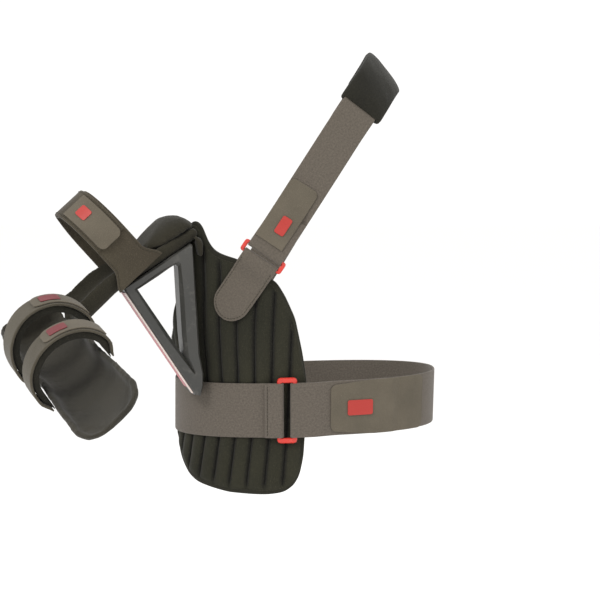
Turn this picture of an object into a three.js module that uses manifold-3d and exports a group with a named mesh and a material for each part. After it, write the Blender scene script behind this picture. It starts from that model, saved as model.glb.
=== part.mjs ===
// Shoulder abduction brace, worn on the right arm: a trunk pad with sewn channels, a triangular frame
// that props the arm pad away from the trunk, a forearm trough, and the straps that hold them.
// Millimetres, +Z up. The wearer faces -Y and the wearer's left is +X. The model is laid out with Z = 0
// at the middle of the belt and Y = 0 in the middle of the trunk, and is then moved so that its origin
// is the seat on the left shoulder, the underside of the shoulder pad at its crest.

import * as THREE from 'three';
import Module from 'manifold-3d';
import { mergeVertices } from 'three/addons/utils/BufferGeometryUtils.js';

const wasm = await Module();
wasm.setup();

// Driving dimensions: the trunk that the brace is shaped on
const waistWidth = 330;
const waistDepth = 224;
const trunkRise = 250;
const trunkPower = 2.3;
const shoulderHeight = 440;
const shoulderOut = 90;
const shoulderFall = 1.3;
const shoulderSetBack = 20;

// Driving dimensions: layers and gaps
const gap = 0.4;
const skinGap = 0.6;
const beltClear = 0.9;
const padThickness = 9;
const padEdge = 5;
const channelDepth = 3.6;
const webThickness = 2.6;
const tabThickness = 1.8;
const patchThickness = 0.8;
const neopreneThickness = 3.4;

// Driving dimensions: trunk pad
const channelPitch = 23;
const channelCount = 18;
const channelLean = 0.06;
const padFront = -3;
const padRise = 244;
const padDrop = 112;

// Driving dimensions: belt and its ring
const beltWidth = 71;
const beltRoll = 0.03;
const ringAlong = -26;
const beltRingWidth = 25;
const beltRingHeight = 86;
const beltBar = 5.5;
const ringThickness = 3;
const beltFold = 124;
const beltSewnEnd = 408;
const beltTabStart = 29;
const beltTabLength = 138;
const beltTabWidth = 62;
const patchLength = 33;
const patchHeight = 20;

// Driving dimensions: shoulder strap, its ring and the shoulder pad
const strapWidth = 50;
const strapLean = 32.7 * Math.PI / 180;
const rearLean = 31 * Math.PI / 180;
const shoulderRingOut = -57;
const shoulderRingUp = 199;
const shoulderRingWidth = 62;
const shoulderRingLength = 17;
const shoulderBar = 3.6;
const anchorLength = 98;
const strapFold = 61;
const strapTabStart = 19;
const strapTabEnd = 105;
const strapTabWidth = 41;
const strapTabShift = -4;
const strapPatchLength = 24;
const strapPatchWidth = 14;
const rearAnchorUp = 62;
const shoulderPadWidth = 62;
const shoulderPadShift = 1.5;
const shoulderPadFront = 135;
const shoulderPadRear = 90;
const cushionThickness = 7;
const coverThickness = 2.4;

// Driving dimensions: abduction frame, in its own upright plane turned forward of the trunk
const frameYaw = 17 * Math.PI / 180;
const frameFootOut = -140.4;
const frameFootFront = -97.7;
const frameReach = 104.8;
const frameRise = 200.7;
const frameFootUp = 16.3;
const frameDepth = 34;
const outerChamfer = 2.5;
const innerChamfer = 5;
const stripeThickness = 1.2;
const whiteStripeWidth = 8;
const redStripeWidth = 20;
const redStripeStart = 0.07;
const stripeStart = 0.02;
const stripeEnd = 0.98;

// Driving dimensions: arm pad, a padded gutter under the upper arm
const armPadWidth = 110;
const armPadFront = 20;
const armPadWall = 8;
const armPadRim = 28;
const armSlope = 42 * Math.PI / 180;
const armLoopUp = 110;
const armStrapWidth = 46;
const armTabWidth = 36;
const armPatch = 16;
const armPatchInset = 14;

// Driving dimensions: forearm trough
const forearmLength = 378;
const elbowLength = 127;
const troughWidth = 94;
const troughDepth = 46;
const troughWall = 7;
const troughRim = 4;
const forearmStrapWidth = 38;
const linerThickness = 8;
const linerGap = 1;

// Set-outs of the smaller features
const turnSteps = 6;
const ringCorner = 0.6;
const ringBevel = 0.37;
const windowRound = 0.8;
const tabLead = 4;
const patchGap = 0.7;
const patchStep = 8;
const tabCorner = 8;
const tabSpacing = 4;
const tabStep = 10;
const beltStep = 12;
const beltEase = 42;
const beltHem = 18;
const beltHemStep = 3;
const beltSewnGap = 6;
const beltSettle = 40;
const beltTabFlare = 62;
const beltPatchInset = 22;
const routeSteps = 120;
const routeBelow = 115;
const strapEndRoom = 12;
const strapStep = 11;
const strapEase = 45;
const strapSettle = 36;
const strapPatchInset = 15;
const anchorHem = 26;
const anchorLead = 4;
const anchorSinkFrom = 14.3;
const anchorSinkOver = 23.4;
const anchorTipInsets = [0.6, 0.35, 0.18, 0.07, 0.01];
const frameReadStep = 4;
const padLeave = 4;
const wingReach = 58;
const sleeveStep = 9;
const sleeveSwell = 2.5;
const sleeveRound = 3;
const cutterLow = -60;
const cutterHigh = 330;
const cutterStep = 12;
const cutterTurns = 96;
const cutterBeltRoom = 8;
const frameFront = 15;
const stripeSeat = 0.3;
const gutterRound = 12;
const armHollowHeight = 130;
const elbowOut = 19;
const elbowUp = 35;
const elbowSetBack = 8.5;
const elbowLead = 78;
const forearmInward = 22.2 * Math.PI / 180;
const forearmDrop = 12.6 * Math.PI / 180;
const hollowLid = 30;
const armpitSwell = 5;
const pillowRoom = 1.6;
const armLoopOut = 0.84;
const armLoopHeight = 0.826;
const armLoopSpring = 52;
const armLoopFootDrop = 5;
const armStrapFrom = 0.2;
const armStrapSettle = 26;
const armTabLead = 3;
const armTabTo = 0.43;
const loopReadStep = 3;
const loopWallStep = 6;
const loopCrownSteps = 20;
const loopStep = 8;
const loopPatchStep = 5;
const flapShare = 0.56;
const flapLead = 2;
const flapLowExtra = 3;
const flapFlareWidth = 13;
const flapFlareRise = 26;
const forearmFoot = 20;
const forearmEase = 26;
const linerInset = 7;
const forearmTabTo = 0.86;
const forearmPatchInset = 8;
const forearmPatchLength = 19;
const forearmPatchWidth = 19;
const forearmTabWidth = 32;
const forearmRearShare = 0.45;
const rimRoom = 2;

const vector = (x, y, z) => new THREE.Vector3(x, y, z);
const clamp = (value) => Math.min(1, Math.max(0, value));
const smooth = (value) => clamp(value) ** 2 * (3 - 2 * clamp(value));
const mix = (from, to, share) => from + (to - from) * share;

// Reads one column of a table of sections at a place between its rows
function column(rows, name, key, place) {
  let row = 0;
  while (row < rows.length - 2 && place > rows[row + 1][key]) row += 1;
  const share = clamp((place - rows[row][key]) / (rows[row + 1][key] - rows[row][key]));
  return mix(rows[row][name], rows[row + 1][name], share);
}

// Makes a closed mesh from its vertices and triangles, with its faces turned outwards
function closedGeometry(vertices, triangles) {
  let volume = 0;
  for (const [a, b, c] of triangles) {
    volume += vertices[a].dot(vertices[b].clone().cross(vertices[c]));
  }
  const geometry = new THREE.BufferGeometry().setFromPoints(vertices);
  geometry.setIndex(triangles.flatMap(([a, b, c]) => (volume > 0 ? [a, b, c] : [a, c, b])));
  return geometry;
}

// Skins rings of points, each as long as the next. An open run is capped, a loop joins its ends.
function skin(rings, outline) {
  const size = rings[0].length;
  const triangles = [];
  const loop = outline === undefined;
  const runs = loop ? rings.length : rings.length - 1;
  for (let run = 0; run < runs; run += 1) {
    const next = (run + 1) % rings.length;
    for (let side = 0; side < size; side += 1) {
      const near = run * size + side;
      const nearTurn = run * size + (side + 1) % size;
      const far = next * size + side;
      const farTurn = next * size + (side + 1) % size;
      triangles.push([near, nearTurn, farTurn], [near, farTurn, far]);
    }
  }
  if (!loop) {
    const last = (rings.length - 1) * size;
    const contour = outline.map(([across, up]) => new THREE.Vector2(across, up));
    for (const [a, b, c] of THREE.ShapeUtils.triangulateShape(contour, [])) {
      triangles.push([c, b, a], [last + a, last + b, last + c]);
    }
  }
  return closedGeometry(rings.flat(), agree(triangles));
}

// Turns each triangle to agree with its neighbours, starting from the first
function agree(triangles) {
  const key = (from, to) => `${from},${to}`;
  const edges = new Map();
  triangles.forEach(([a, b, c], face) => {
    for (const [from, to] of [[a, b], [b, c], [c, a]]) {
      for (const name of [key(from, to), key(to, from)]) {
        edges.set(name, [...(edges.get(name) ?? []), face]);
      }
    }
  });
  const turned = triangles.map(() => false);
  const queue = [0];
  turned[0] = true;
  while (queue.length > 0) {
    const face = queue.pop();
    const [a, b, c] = triangles[face];
    for (const [from, to] of [[a, b], [b, c], [c, a]]) {
      for (const other of edges.get(key(from, to))) {
        if (turned[other]) continue;
        const [d, e, f] = triangles[other];
        const same = [[d, e], [e, f], [f, d]].some(([start, end]) => start === from && end === to);
        if (same) triangles[other] = [d, f, e];
        turned[other] = true;
        queue.push(other);
      }
    }
  }
  return triangles;
}

// Boolean joins and cuts
function toSolid(geometry) {
  const bare = geometry.clone();
  bare.deleteAttribute('normal');
  bare.deleteAttribute('uv');
  const merged = mergeVertices(bare, 1e-4);
  const vertProperties = new Float32Array(merged.attributes.position.array);
  const triVerts = new Uint32Array(merged.index.array);
  return new wasm.Manifold(new wasm.Mesh({ numProp: 3, vertProperties, triVerts }));
}

function fromSolid(solid) {
  const mesh = solid.getMesh();
  const geometry = new THREE.BufferGeometry();
  geometry.setAttribute('position', new THREE.BufferAttribute(mesh.vertProperties, mesh.numProp));
  geometry.setIndex(new THREE.BufferAttribute(mesh.triVerts, 1));
  return geometry;
}

// Keeps the largest body of a cut solid
function mainBody(solid) {
  const bodies = solid.decompose();
  return bodies.reduce((best, body) => (body.volume() > best.volume() ? body : best));
}

// The trunk's girth at the heights where it changes, as shares of its size at the waist
const trunkSections = [
  { up: -0.52, width: 1.067, depth: 1.063 },
  { up: 0, width: 1, depth: 1 },
  { up: 0.52, width: 1.091, depth: 1.08 },
  { up: 1, width: 1.152, depth: 1.116 },
];

function trunkHalf(up) {
  let row = 0;
  while (row < trunkSections.length - 2 && up > trunkSections[row + 1].up * trunkRise) row += 1;
  const low = trunkSections[row];
  const high = trunkSections[row + 1];
  const share = smooth((up / trunkRise - low.up) / (high.up - low.up));
  const width = mix(low.width, high.width, share) * waistWidth / 2;
  const depth = mix(low.depth, high.depth, share) * waistDepth / 2;
  return { width, depth };
}

// A place on the trunk by its turn from the front, its height and its distance off the surface
function trunkAtTurn(turn, up, off) {
  const half = trunkHalf(up);
  const power = 2 / trunkPower;
  const x = (half.width + off) * Math.sign(Math.sin(turn)) * Math.abs(Math.sin(turn)) ** power;
  const y = -(half.depth + off) * Math.sign(Math.cos(turn)) * Math.abs(Math.cos(turn)) ** power;
  return vector(x, y, up);
}

// The turn that lies so many millimetres round the waist from the front, to the left when positive
const girthSteps = 720;
const girth = [0];
for (let step = 1; step <= girthSteps; step += 1) {
  const before = trunkAtTurn((step - 1) * Math.PI / girthSteps, 0, padThickness);
  const after = trunkAtTurn(step * Math.PI / girthSteps, 0, padThickness);
  girth.push(girth[step - 1] + before.distanceTo(after));
}
const halfGirth = girth[girthSteps];

function turnAlong(along) {
  const lap = Math.abs(along);
  if (lap > halfGirth) {
    return Math.sign(along) * (2 * Math.PI - Math.abs(turnAlong(2 * halfGirth - lap)));
  }
  let step = 0;
  while (girth[step + 1] < lap) step += 1;
  const share = (lap - girth[step]) / (girth[step + 1] - girth[step]);
  return Math.sign(along) * (step + share) * Math.PI / girthSteps;
}

const onTrunk = (along, up, off) => trunkAtTurn(turnAlong(along), up, off);

const range = (from, to, step) => {
  const count = Math.max(1, Math.round(Math.abs(to - from) / step));
  return Array.from({ length: count + 1 }, (_, index) => mix(from, to, index / count));
};

const materials = {
  neoprene: { color: 0x3b3830, roughness: 0.9, metalness: 0 },
  webbing: { color: 0x78706a, roughness: 0.85, metalness: 0 },
  tab: { color: 0x6b6558, roughness: 0.8, metalness: 0 },
  padded: { color: 0x55504a, roughness: 0.9, metalness: 0 },
  red: { color: 0xc43a32, roughness: 0.5, metalness: 0 },
  frame: { color: 0x46484a, roughness: 0.45, metalness: 0 },
  white: { color: 0xe8e2dc, roughness: 0.5, metalness: 0 },
};

const brace = new THREE.Group();

function add(name, geometry, look) {
  geometry.computeVertexNormals();
  const mesh = new THREE.Mesh(geometry, new THREE.MeshStandardMaterial(materials[look]));
  mesh.name = name;
  brace.add(mesh);
  return mesh;
}

// A band of webbing or padding: stations give the middle of its thickness, the way across and the
// half widths to each side. Its outward side follows from the way it runs.
function band(stations, thickness) {
  const rings = stations.map(({ place, across, half, halfLow = half }, index) => {
    const before = stations[Math.max(0, index - 1)].place;
    const after = stations[Math.min(stations.length - 1, index + 1)].place;
    const out = new THREE.Vector3().crossVectors(across, after.clone().sub(before)).normalize();
    const corner = (side, height) => place.clone()
      .addScaledVector(across, side).addScaledVector(out, height * thickness / 2);
    return [corner(half, -1), corner(half, 1), corner(-halfLow, 1), corner(-halfLow, -1)];
  });
  return skin(rings, [[1, -1], [1, 1], [-1, 1], [-1, -1]]);
}

// A band laid on a surface: its path is read along the surface and off it, and place maps them
function laidBand(path, half, thickness, place) {
  const rings = path.map(({ along, off, width = half, shift = 0 }, index) => {
    const before = path[Math.max(0, index - 1)];
    const after = path[Math.min(path.length - 1, index + 1)];
    const way = new THREE.Vector2(after.along - before.along, after.off - before.off).normalize();
    const corner = (across, height) => place(
      along - way.y * height * thickness / 2, shift + across, off + way.x * height * thickness / 2,
    );
    return [corner(width, -1), corner(width, 1), corner(-width, 1), corner(-width, -1)];
  });
  return skin(rings, [[1, -1], [1, 1], [-1, 1], [-1, -1]]);
}

// The turn that a band makes round a flat bar: side is the way that it reaches past the bar
function barTurn(barAlong, barWidth, barOff, thickness, side) {
  const radius = ringThickness / 2 + gap + thickness / 2;
  const middle = barAlong + side * (barWidth - ringThickness) / 2;
  return range(0, Math.PI, Math.PI / turnSteps).map((angle) => ({
    along: middle + side * radius * Math.sin(angle),
    off: barOff - radius * Math.cos(angle),
  }));
}

// Half width of a band so many millimetres before a rounded end
function roundedHalf(half, radius, fromEnd) {
  if (fromEnd >= radius) return half;
  return half - radius + Math.sqrt(Math.max(0.01, radius ** 2 - (radius - fromEnd) ** 2));
}

// Stations of a tab, close together at its rounded start and, if that is rounded too, at its end
function tabPlaces(from, to, roundEnd) {
  const insets = [0, 0.2, 0.5, 1].map((share) => share * tabCorner);
  const last = roundEnd ? to - tabCorner - tabSpacing : to;
  const middle = range(from + tabCorner + tabSpacing, last, tabSpacing);
  const end = roundEnd ? insets.map((inset) => to - inset).reverse() : [];
  return [...insets.map((inset) => from + inset), ...middle, ...end];
}

// A flat moulded ring with a window, laid on a surface by its place function
function ringGeometry({ across, along, endBar, sideBar, place }) {
  const corner = endBar * ringCorner;
  const bevel = ringThickness * ringBevel;
  const stations = [];
  for (const [sideAcross, sideAlong] of [[1, 1], [1, -1], [-1, -1], [-1, 1]]) {
    const turned = sideAcross * sideAlong > 0;
    for (const share of [0, 0.5, 1]) {
      const bend = (turned ? share : 1 - share) * Math.PI / 2;
      const outer = {
        across: sideAcross * (across / 2 - corner + corner * Math.cos(Math.PI / 2 - bend)),
        along: sideAlong * (along / 2 - corner + corner * Math.cos(bend)),
      };
      const inner = {
        across: sideAcross * (across / 2 - endBar - (turned ? 1 - share : share) * windowRound),
        along: sideAlong * (along / 2 - sideBar - (turned ? share : 1 - share) * windowRound),
      };
      stations.push({ outer, inner });
    }
  }
  const rings = stations.map(({ outer, inner }) => {
    const length = Math.hypot(inner.across - outer.across, inner.along - outer.along);
    const point = (inset, height) => {
      const share = inset / length;
      return place(mix(outer.along, inner.along, share), mix(outer.across, inner.across, share), height);
    };
    const half = ringThickness / 2;
    return [
      point(0, 0), point(bevel, half), point(length - bevel, half),
      point(length, 0), point(length - bevel, -half), point(bevel, -half),
    ];
  });
  return skin(rings);
}

// Trunk pad: its lower and upper edge at each place across, front edge first, as shares of the pad's
// span, of its drop below the belt and of its rise above it
const padOutline = [
  { across: 0, low: 0.55, high: 0.107 },
  { across: 0.008, low: 0.76, high: 0.179 },
  { across: 0.022, low: 0.88, high: 0.298 },
  { across: 0.05, low: 0.965, high: 0.487 },
  { across: 0.083, low: 0.99, high: 0.603 },
  { across: 0.111, low: 1, high: 0.679 },
  { across: 0.146, low: 1, high: 0.715 },
  { across: 0.223, low: 0.99, high: 0.795 },
  { across: 0.272, low: 0.96, high: 0.82 },
  { across: 0.298, low: 0.942, high: 0.84 },
  { across: 0.312, low: 0.932, high: 0.865 },
  { across: 0.325, low: 0.921, high: 0.902 },
  { across: 0.34, low: 0.91, high: 0.963 },
  { across: 0.355, low: 0.887, high: 0.996 },
  { across: 0.37, low: 0.863, high: 1 },
  { across: 0.39, low: 0.827, high: 0.951 },
  { across: 0.415, low: 0.76, high: 0.82 },
  { across: 0.45, low: 0.67, high: 0.615 },
  { across: 0.51, low: 0.52, high: 0.394 },
  { across: 0.6, low: 0.47, high: 0.384 },
  { across: 0.93, low: 0.46, high: 0.384 },
  { across: 0.98, low: 0.42, high: 0.34 },
  { across: 1, low: 0.34, high: 0.25 },
];

// How far the pad's outer face sinks at each place across one channel, from seam to seam
const channelShape = [
  { across: 0, sink: 1 },
  { across: 0.2, sink: 0.22 },
  { across: 0.5, sink: 0 },
  { across: 0.8, sink: 0.22 },
];

const padSpan = channelPitch * channelCount;
const padRows = [0, 0.03, 0.09, 0.2, 0.34, 0.48, 0.62, 0.76, 0.88, 0.95, 1];

function trunkPad() {
  const columns = [];
  for (let channel = 0; channel < channelCount; channel += 1) {
    for (const { across, sink } of channelShape) {
      columns.push({ across: (channel + across) / channelCount, sink: channel + across > 0 ? sink : 0 });
    }
  }
  columns.push({ across: 1, sink: 0 });
  const outer = [];
  const inner = [];
  columns.forEach(({ across, sink }, index) => {
    const low = -column(padOutline, 'low', 'across', across) * padDrop;
    const high = column(padOutline, 'high', 'across', across) * padRise;
    const border = index === 0 || index === columns.length - 1;
    padRows.forEach((row, level) => {
      const up = mix(low, high, row);
      const along = padFront - across * padSpan + channelLean * up;
      const edge = border || level === 0 || level === padRows.length - 1;
      const seam = level === 1 || level === padRows.length - 2 ? 0 : sink * channelDepth;
      outer.push(onTrunk(along, up, edge ? padEdge : padThickness - seam));
      inner.push(onTrunk(along, up, skinGap));
    });
  });
  return slab(outer, inner, columns.length, padRows.length);
}

// Closes two grids of the same size, one over the other, into a solid
function slab(outer, inner, columnCount, rowCount) {
  const triangles = [];
  const under = outer.length;
  const at = (across, row) => across * rowCount + row;
  for (let across = 0; across < columnCount - 1; across += 1) {
    for (let row = 0; row < rowCount - 1; row += 1) {
      const [a, b] = [at(across, row), at(across + 1, row)];
      const [c, d] = [at(across + 1, row + 1), at(across, row + 1)];
      triangles.push([a, b, c], [a, c, d]);
      triangles.push([under + a, under + c, under + b], [under + a, under + d, under + c]);
    }
  }
  const border = [];
  for (let across = 0; across < columnCount; across += 1) border.push(at(across, 0));
  for (let row = 1; row < rowCount; row += 1) border.push(at(columnCount - 1, row));
  for (let across = columnCount - 2; across >= 0; across -= 1) border.push(at(across, rowCount - 1));
  for (let row = rowCount - 2; row > 0; row -= 1) border.push(at(0, row));
  border.forEach((from, index) => {
    const to = border[(index + 1) % border.length];
    triangles.push([from, under + to, to], [from, under + from, under + to]);
  });
  return closedGeometry([...outer, ...inner], triangles);
}

add('trunk_pad', trunkPad(), 'neoprene');

// Belt: layers lie on the pad where it reaches and sink to the trunk beyond its edges
function layerUnder(along) {
  const lap = along > halfGirth ? along - 2 * halfGirth : along;
  const pastFront = lap - padFront - channelLean * beltWidth;
  const pastRear = padFront - padSpan - lap;
  return padThickness * (1 - smooth((Math.max(pastFront, pastRear) - 1) / beltEase));
}

const beltInner = (along) => layerUnder(along) + beltClear + webThickness / 2;
const beltRingOff = padThickness + beltClear + webThickness + gap + ringThickness / 2;
const beltOuter = beltRingOff + ringThickness / 2 + gap + webThickness / 2;
const beltBarAlong = (beltRingWidth - beltBar) / 2;

// The belt is taut across its width, so it bridges the hollow of the waist between its edges
function beltPlace(along, across, off) {
  const level = beltRoll * onTrunk(along, 0, off).x;
  const low = onTrunk(along, level - beltWidth / 2, off);
  const high = onTrunk(along, level + beltWidth / 2, off);
  return low.lerp(high, across / beltWidth + 0.5);
}

const beltBand = (path, half, thickness) => laidBand(path, half, thickness, beltPlace);

function shortBelt() {
  const bar = ringAlong - beltBarAlong;
  const under = range(-beltSewnEnd, bar, beltStep).map((along) => ({ along, off: beltInner(along) }));
  const back = range(bar, bar - beltHem, beltHemStep).slice(1).map((along) => ({
    along,
    off: mix(beltOuter, beltInner(along) + webThickness + gap, smooth((bar - beltBar - along) / beltHem)),
  }));
  return [...under, ...barTurn(bar, beltBar, beltRingOff, webThickness, 1), ...back];
}

function longBelt() {
  const bar = ringAlong + beltBarAlong;
  const far = 2 * halfGirth - beltSewnEnd - beltSewnGap;
  const under = range(far, bar, beltStep).map((along) => ({ along, off: beltInner(along) }));
  const back = range(bar, bar + beltFold, beltStep).slice(1).map((along) => ({
    along,
    off: beltFoldOff(along),
  }));
  return [...under, ...barTurn(bar, beltBar, beltRingOff, webThickness, -1), ...back];
}

add('belt_short', beltBand(shortBelt(), beltWidth / 2, webThickness), 'webbing');
add('belt_long', beltBand(longBelt(), beltWidth / 2, webThickness), 'webbing');
add('belt_ring', ringGeometry({
  across: beltRingHeight,
  along: beltRingWidth,
  endBar: (beltRingHeight - beltWidth) / 2 - gap,
  sideBar: beltBar,
  place: (along, across, off) => beltPlace(ringAlong + along, across, beltRingOff + off),
}), 'red');

// The grip tab lies on the fold and steps down to the belt past the fold's end
function foldTop(along) {
  const onFold = beltFoldOff(along) + webThickness / 2;
  const onBelt = beltInner(along) + webThickness / 2;
  const foldEnd = ringAlong + beltBarAlong + beltFold;
  return mix(onFold, onBelt, smooth((along - foldEnd - tabLead) / tabStep));
}

function beltFoldOff(along) {
  const bar = ringAlong + beltBarAlong;
  return mix(beltOuter, beltInner(along) + webThickness + gap, smooth((along - bar) / beltSettle));
}

function beltTab() {
  const end = beltTabStart + beltTabLength;
  return tabPlaces(beltTabStart, end, true).map((along) => {
    const flare = mix(beltTabWidth, beltWidth, smooth((along - beltTabStart) / beltTabFlare));
    const nearEnd = Math.min(along - beltTabStart, end - along);
    return {
      along,
      off: foldTop(along) + gap + tabThickness / 2,
      width: roundedHalf(flare / 2, tabCorner, nearEnd),
    };
  });
}

add('belt_tab', beltBand(beltTab(), beltTabWidth / 2, tabThickness), 'tab');

function beltPatch() {
  const start = beltTabStart + beltPatchInset;
  return range(start, start + patchLength, patchStep).map((along) => ({
    along, off: foldTop(along) + gap + tabThickness + patchGap + patchThickness / 2,
  }));
}

add('belt_patch', beltBand(beltPatch(), patchHeight / 2, patchThickness), 'red');

// Shoulder strap: it climbs the chest in a leaning plane, crosses the shoulder and comes down the back
const crestUp = (x) => shoulderHeight - shoulderFall * (x - shoulderOut);
const strapWay = { x: Math.sin(strapLean), z: Math.cos(strapLean) };
const crestShare = (crestUp(shoulderRingOut) - shoulderRingUp) / (strapWay.z + shoulderFall * strapWay.x);
const crestX = shoulderRingOut + strapWay.x * crestShare;
const crestZ = crestUp(crestX);

function shoulderField({ x, y, z }) {
  const half = trunkHalf(Math.min(z, trunkRise));
  const climb = Math.max(0, (z - trunkRise) / (crestUp(x) - trunkRise));
  const setBack = shoulderSetBack * Math.min(1, climb) ** 2;
  return Math.abs((y - setBack) / half.depth) ** trunkPower
    - (1 - Math.abs(x / half.width) ** trunkPower) * (1 - climb ** trunkPower);
}

function onShoulder(x, z, side) {
  const half = trunkHalf(Math.min(z, trunkRise));
  const climb = Math.max(0, (z - trunkRise) / (crestUp(x) - trunkRise));
  const rest = Math.max(0, (1 - Math.abs(x / half.width) ** trunkPower) * (1 - climb ** trunkPower));
  const setBack = shoulderSetBack * Math.min(1, climb) ** 2;
  return vector(x, setBack + side * half.depth * rest ** (1 / trunkPower), z);
}

const strapRoute = [];
for (let step = 0; step <= routeSteps; step += 1) {
  const rise = Math.sin(step / routeSteps * Math.PI / 2) * (crestShare + routeBelow) - routeBelow;
  const x = shoulderRingOut + strapWay.x * rise;
  strapRoute.push(onShoulder(x, shoulderRingUp + strapWay.z * rise, -1));
}
for (let step = routeSteps - 1; step >= 0; step -= 1) {
  const drop = (1 - Math.sin(step / routeSteps * Math.PI / 2)) * (crestZ - rearAnchorUp + strapEndRoom);
  strapRoute.push(onShoulder(crestX - Math.tan(rearLean) * drop, crestZ - drop, 1));
}
const strapRuns = [0];
for (let step = 1; step < strapRoute.length; step += 1) {
  strapRuns.push(strapRuns[step - 1] + strapRoute[step].distanceTo(strapRoute[step - 1]));
}
const ringStep = strapRoute.findIndex(({ z }) => z >= shoulderRingUp);
const ringRun = strapRuns[ringStep];
const crestRun = strapRuns[routeSteps] - ringRun;
const rearRun = strapRuns[strapRuns.length - 1] - ringRun - strapEndRoom;

function strapCentre(run) {
  const reach = Math.min(strapRuns[strapRuns.length - 1] - 0.001, Math.max(0, run + ringRun));
  let step = 0;
  while (strapRuns[step + 1] < reach) step += 1;
  const share = (reach - strapRuns[step]) / (strapRuns[step + 1] - strapRuns[step]);
  return strapRoute[step].clone().lerp(strapRoute[step + 1], share);
}

// The strap's frame: its way along, out from the body and across
function strapFrame(run) {
  const place = strapCentre(run);
  const along = strapCentre(run + frameReadStep).sub(strapCentre(run - frameReadStep)).normalize();
  const slope = (axis) => {
    const ahead = place.clone();
    const behind = place.clone();
    ahead[axis] += 0.5;
    behind[axis] -= 0.5;
    return shoulderField(ahead) - shoulderField(behind);
  };
  const out = vector(slope('x'), slope('y'), slope('z')).normalize();
  const across = new THREE.Vector3().crossVectors(along, out).normalize();
  out.crossVectors(across, along).normalize();
  return { place, along, out, across };
}

function strapPlace(run, across, off) {
  const frame = strapFrame(run);
  return frame.place.addScaledVector(frame.across, across).addScaledVector(frame.out, off);
}

const strapBand = (path, half, thickness) => laidBand(path, half, thickness, strapPlace);

// What lies under the strap: the trunk pad at both ends, the cushion on the shoulder
function strapUnder(run) {
  const offPad = 1 - smooth((run - padLeave) / strapEase);
  const onWing = smooth((run - rearRun + wingReach + strapEase) / strapEase);
  const inSleeve = smooth((run - crestRun + shoulderPadFront + strapEase) / strapEase)
    * (1 - smooth((run - crestRun - shoulderPadRear) / strapEase));
  return Math.max((padThickness + skinGap) * Math.max(offPad, onWing), (cushionThickness + gap) * inSleeve);
}

const strapInner = (run) => strapUnder(run) + skinGap + webThickness / 2;
const shoulderRingOff = strapInner(0) + webThickness / 2 + gap + ringThickness / 2;
const strapOuter = shoulderRingOff + ringThickness / 2 + gap + webThickness / 2;
const shoulderBarAlong = (shoulderRingLength - shoulderBar) / 2;
const strapFoldOff = (run) => mix(
  strapOuter, strapInner(run) + webThickness + gap, smooth((run - shoulderBarAlong) / strapSettle),
);

function anchorPath() {
  const hem = range(-anchorHem, -shoulderBarAlong, strapStep).map((along) => ({
    along, off: strapInner(along),
  }));
  const lay = range(-shoulderBarAlong - anchorLead, -anchorLength + strapWidth / 2, strapStep);
  for (const inset of anchorTipInsets) lay.push(-anchorLength + inset * strapWidth / 2);
  const out = lay.map((along) => ({
    along,
    off: mix(strapOuter, strapInner(along), smooth((-along - anchorSinkFrom) / anchorSinkOver)),
    width: roundedHalf(strapWidth / 2, strapWidth / 2, along + anchorLength),
  }));
  return [...hem, ...barTurn(-shoulderBarAlong, shoulderBar, shoulderRingOff, webThickness, 1), ...out];
}

function strapPath() {
  const sleeveFront = crestRun - shoulderPadFront;
  const sleeveRear = crestRun + shoulderPadRear;
  const under = [
    ...range(rearRun, sleeveRear, strapStep), ...range(sleeveRear, sleeveFront, sleeveStep / 2).slice(1),
    ...range(sleeveFront, shoulderBarAlong, strapStep).slice(1),
  ].map((along) => ({
    along, off: strapInner(along),
  }));
  const fold = range(shoulderBarAlong, strapFold, strapStep / 2).slice(1).map((along) => ({
    along, off: strapFoldOff(along),
  }));
  return [...under, ...barTurn(shoulderBarAlong, shoulderBar, shoulderRingOff, webThickness, -1), ...fold];
}

add('shoulder_anchor', strapBand(anchorPath(), strapWidth / 2, webThickness), 'webbing');
add('shoulder_ring', ringGeometry({
  across: shoulderRingWidth,
  along: shoulderRingLength,
  endBar: (shoulderRingWidth - strapWidth) / 2 - gap,
  sideBar: shoulderBar,
  place: (along, across, off) => strapPlace(along, across, shoulderRingOff + off),
}), 'red');
add('shoulder_strap', strapBand(strapPath(), strapWidth / 2, webThickness), 'webbing');

function strapFoldTop(run) {
  const onFold = strapFoldOff(run) + webThickness / 2;
  const onStrap = strapInner(run) + webThickness / 2;
  return mix(onFold, onStrap, smooth((run - strapFold - tabLead) / tabStep));
}

function shoulderTab() {
  const places = tabPlaces(strapTabStart, strapTabEnd, true);
  return places.map((along) => ({
    along,
    off: strapFoldTop(along) + gap + tabThickness / 2,
    width: roundedHalf(strapTabWidth / 2, tabCorner, strapTabEnd - along),
    shift: strapTabShift,
  }));
}

add('shoulder_tab', strapBand(shoulderTab(), strapTabWidth / 2, tabThickness), 'tab');

function shoulderPatch() {
  const start = strapTabStart + strapPatchInset;
  return range(start, start + strapPatchLength, patchStep).map((along) => ({
    along,
    off: strapFoldTop(along) + gap + tabThickness + patchGap + patchThickness / 2,
  }));
}

add('shoulder_patch', strapBand(shoulderPatch(), strapPatchWidth / 2, patchThickness), 'red');

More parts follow.
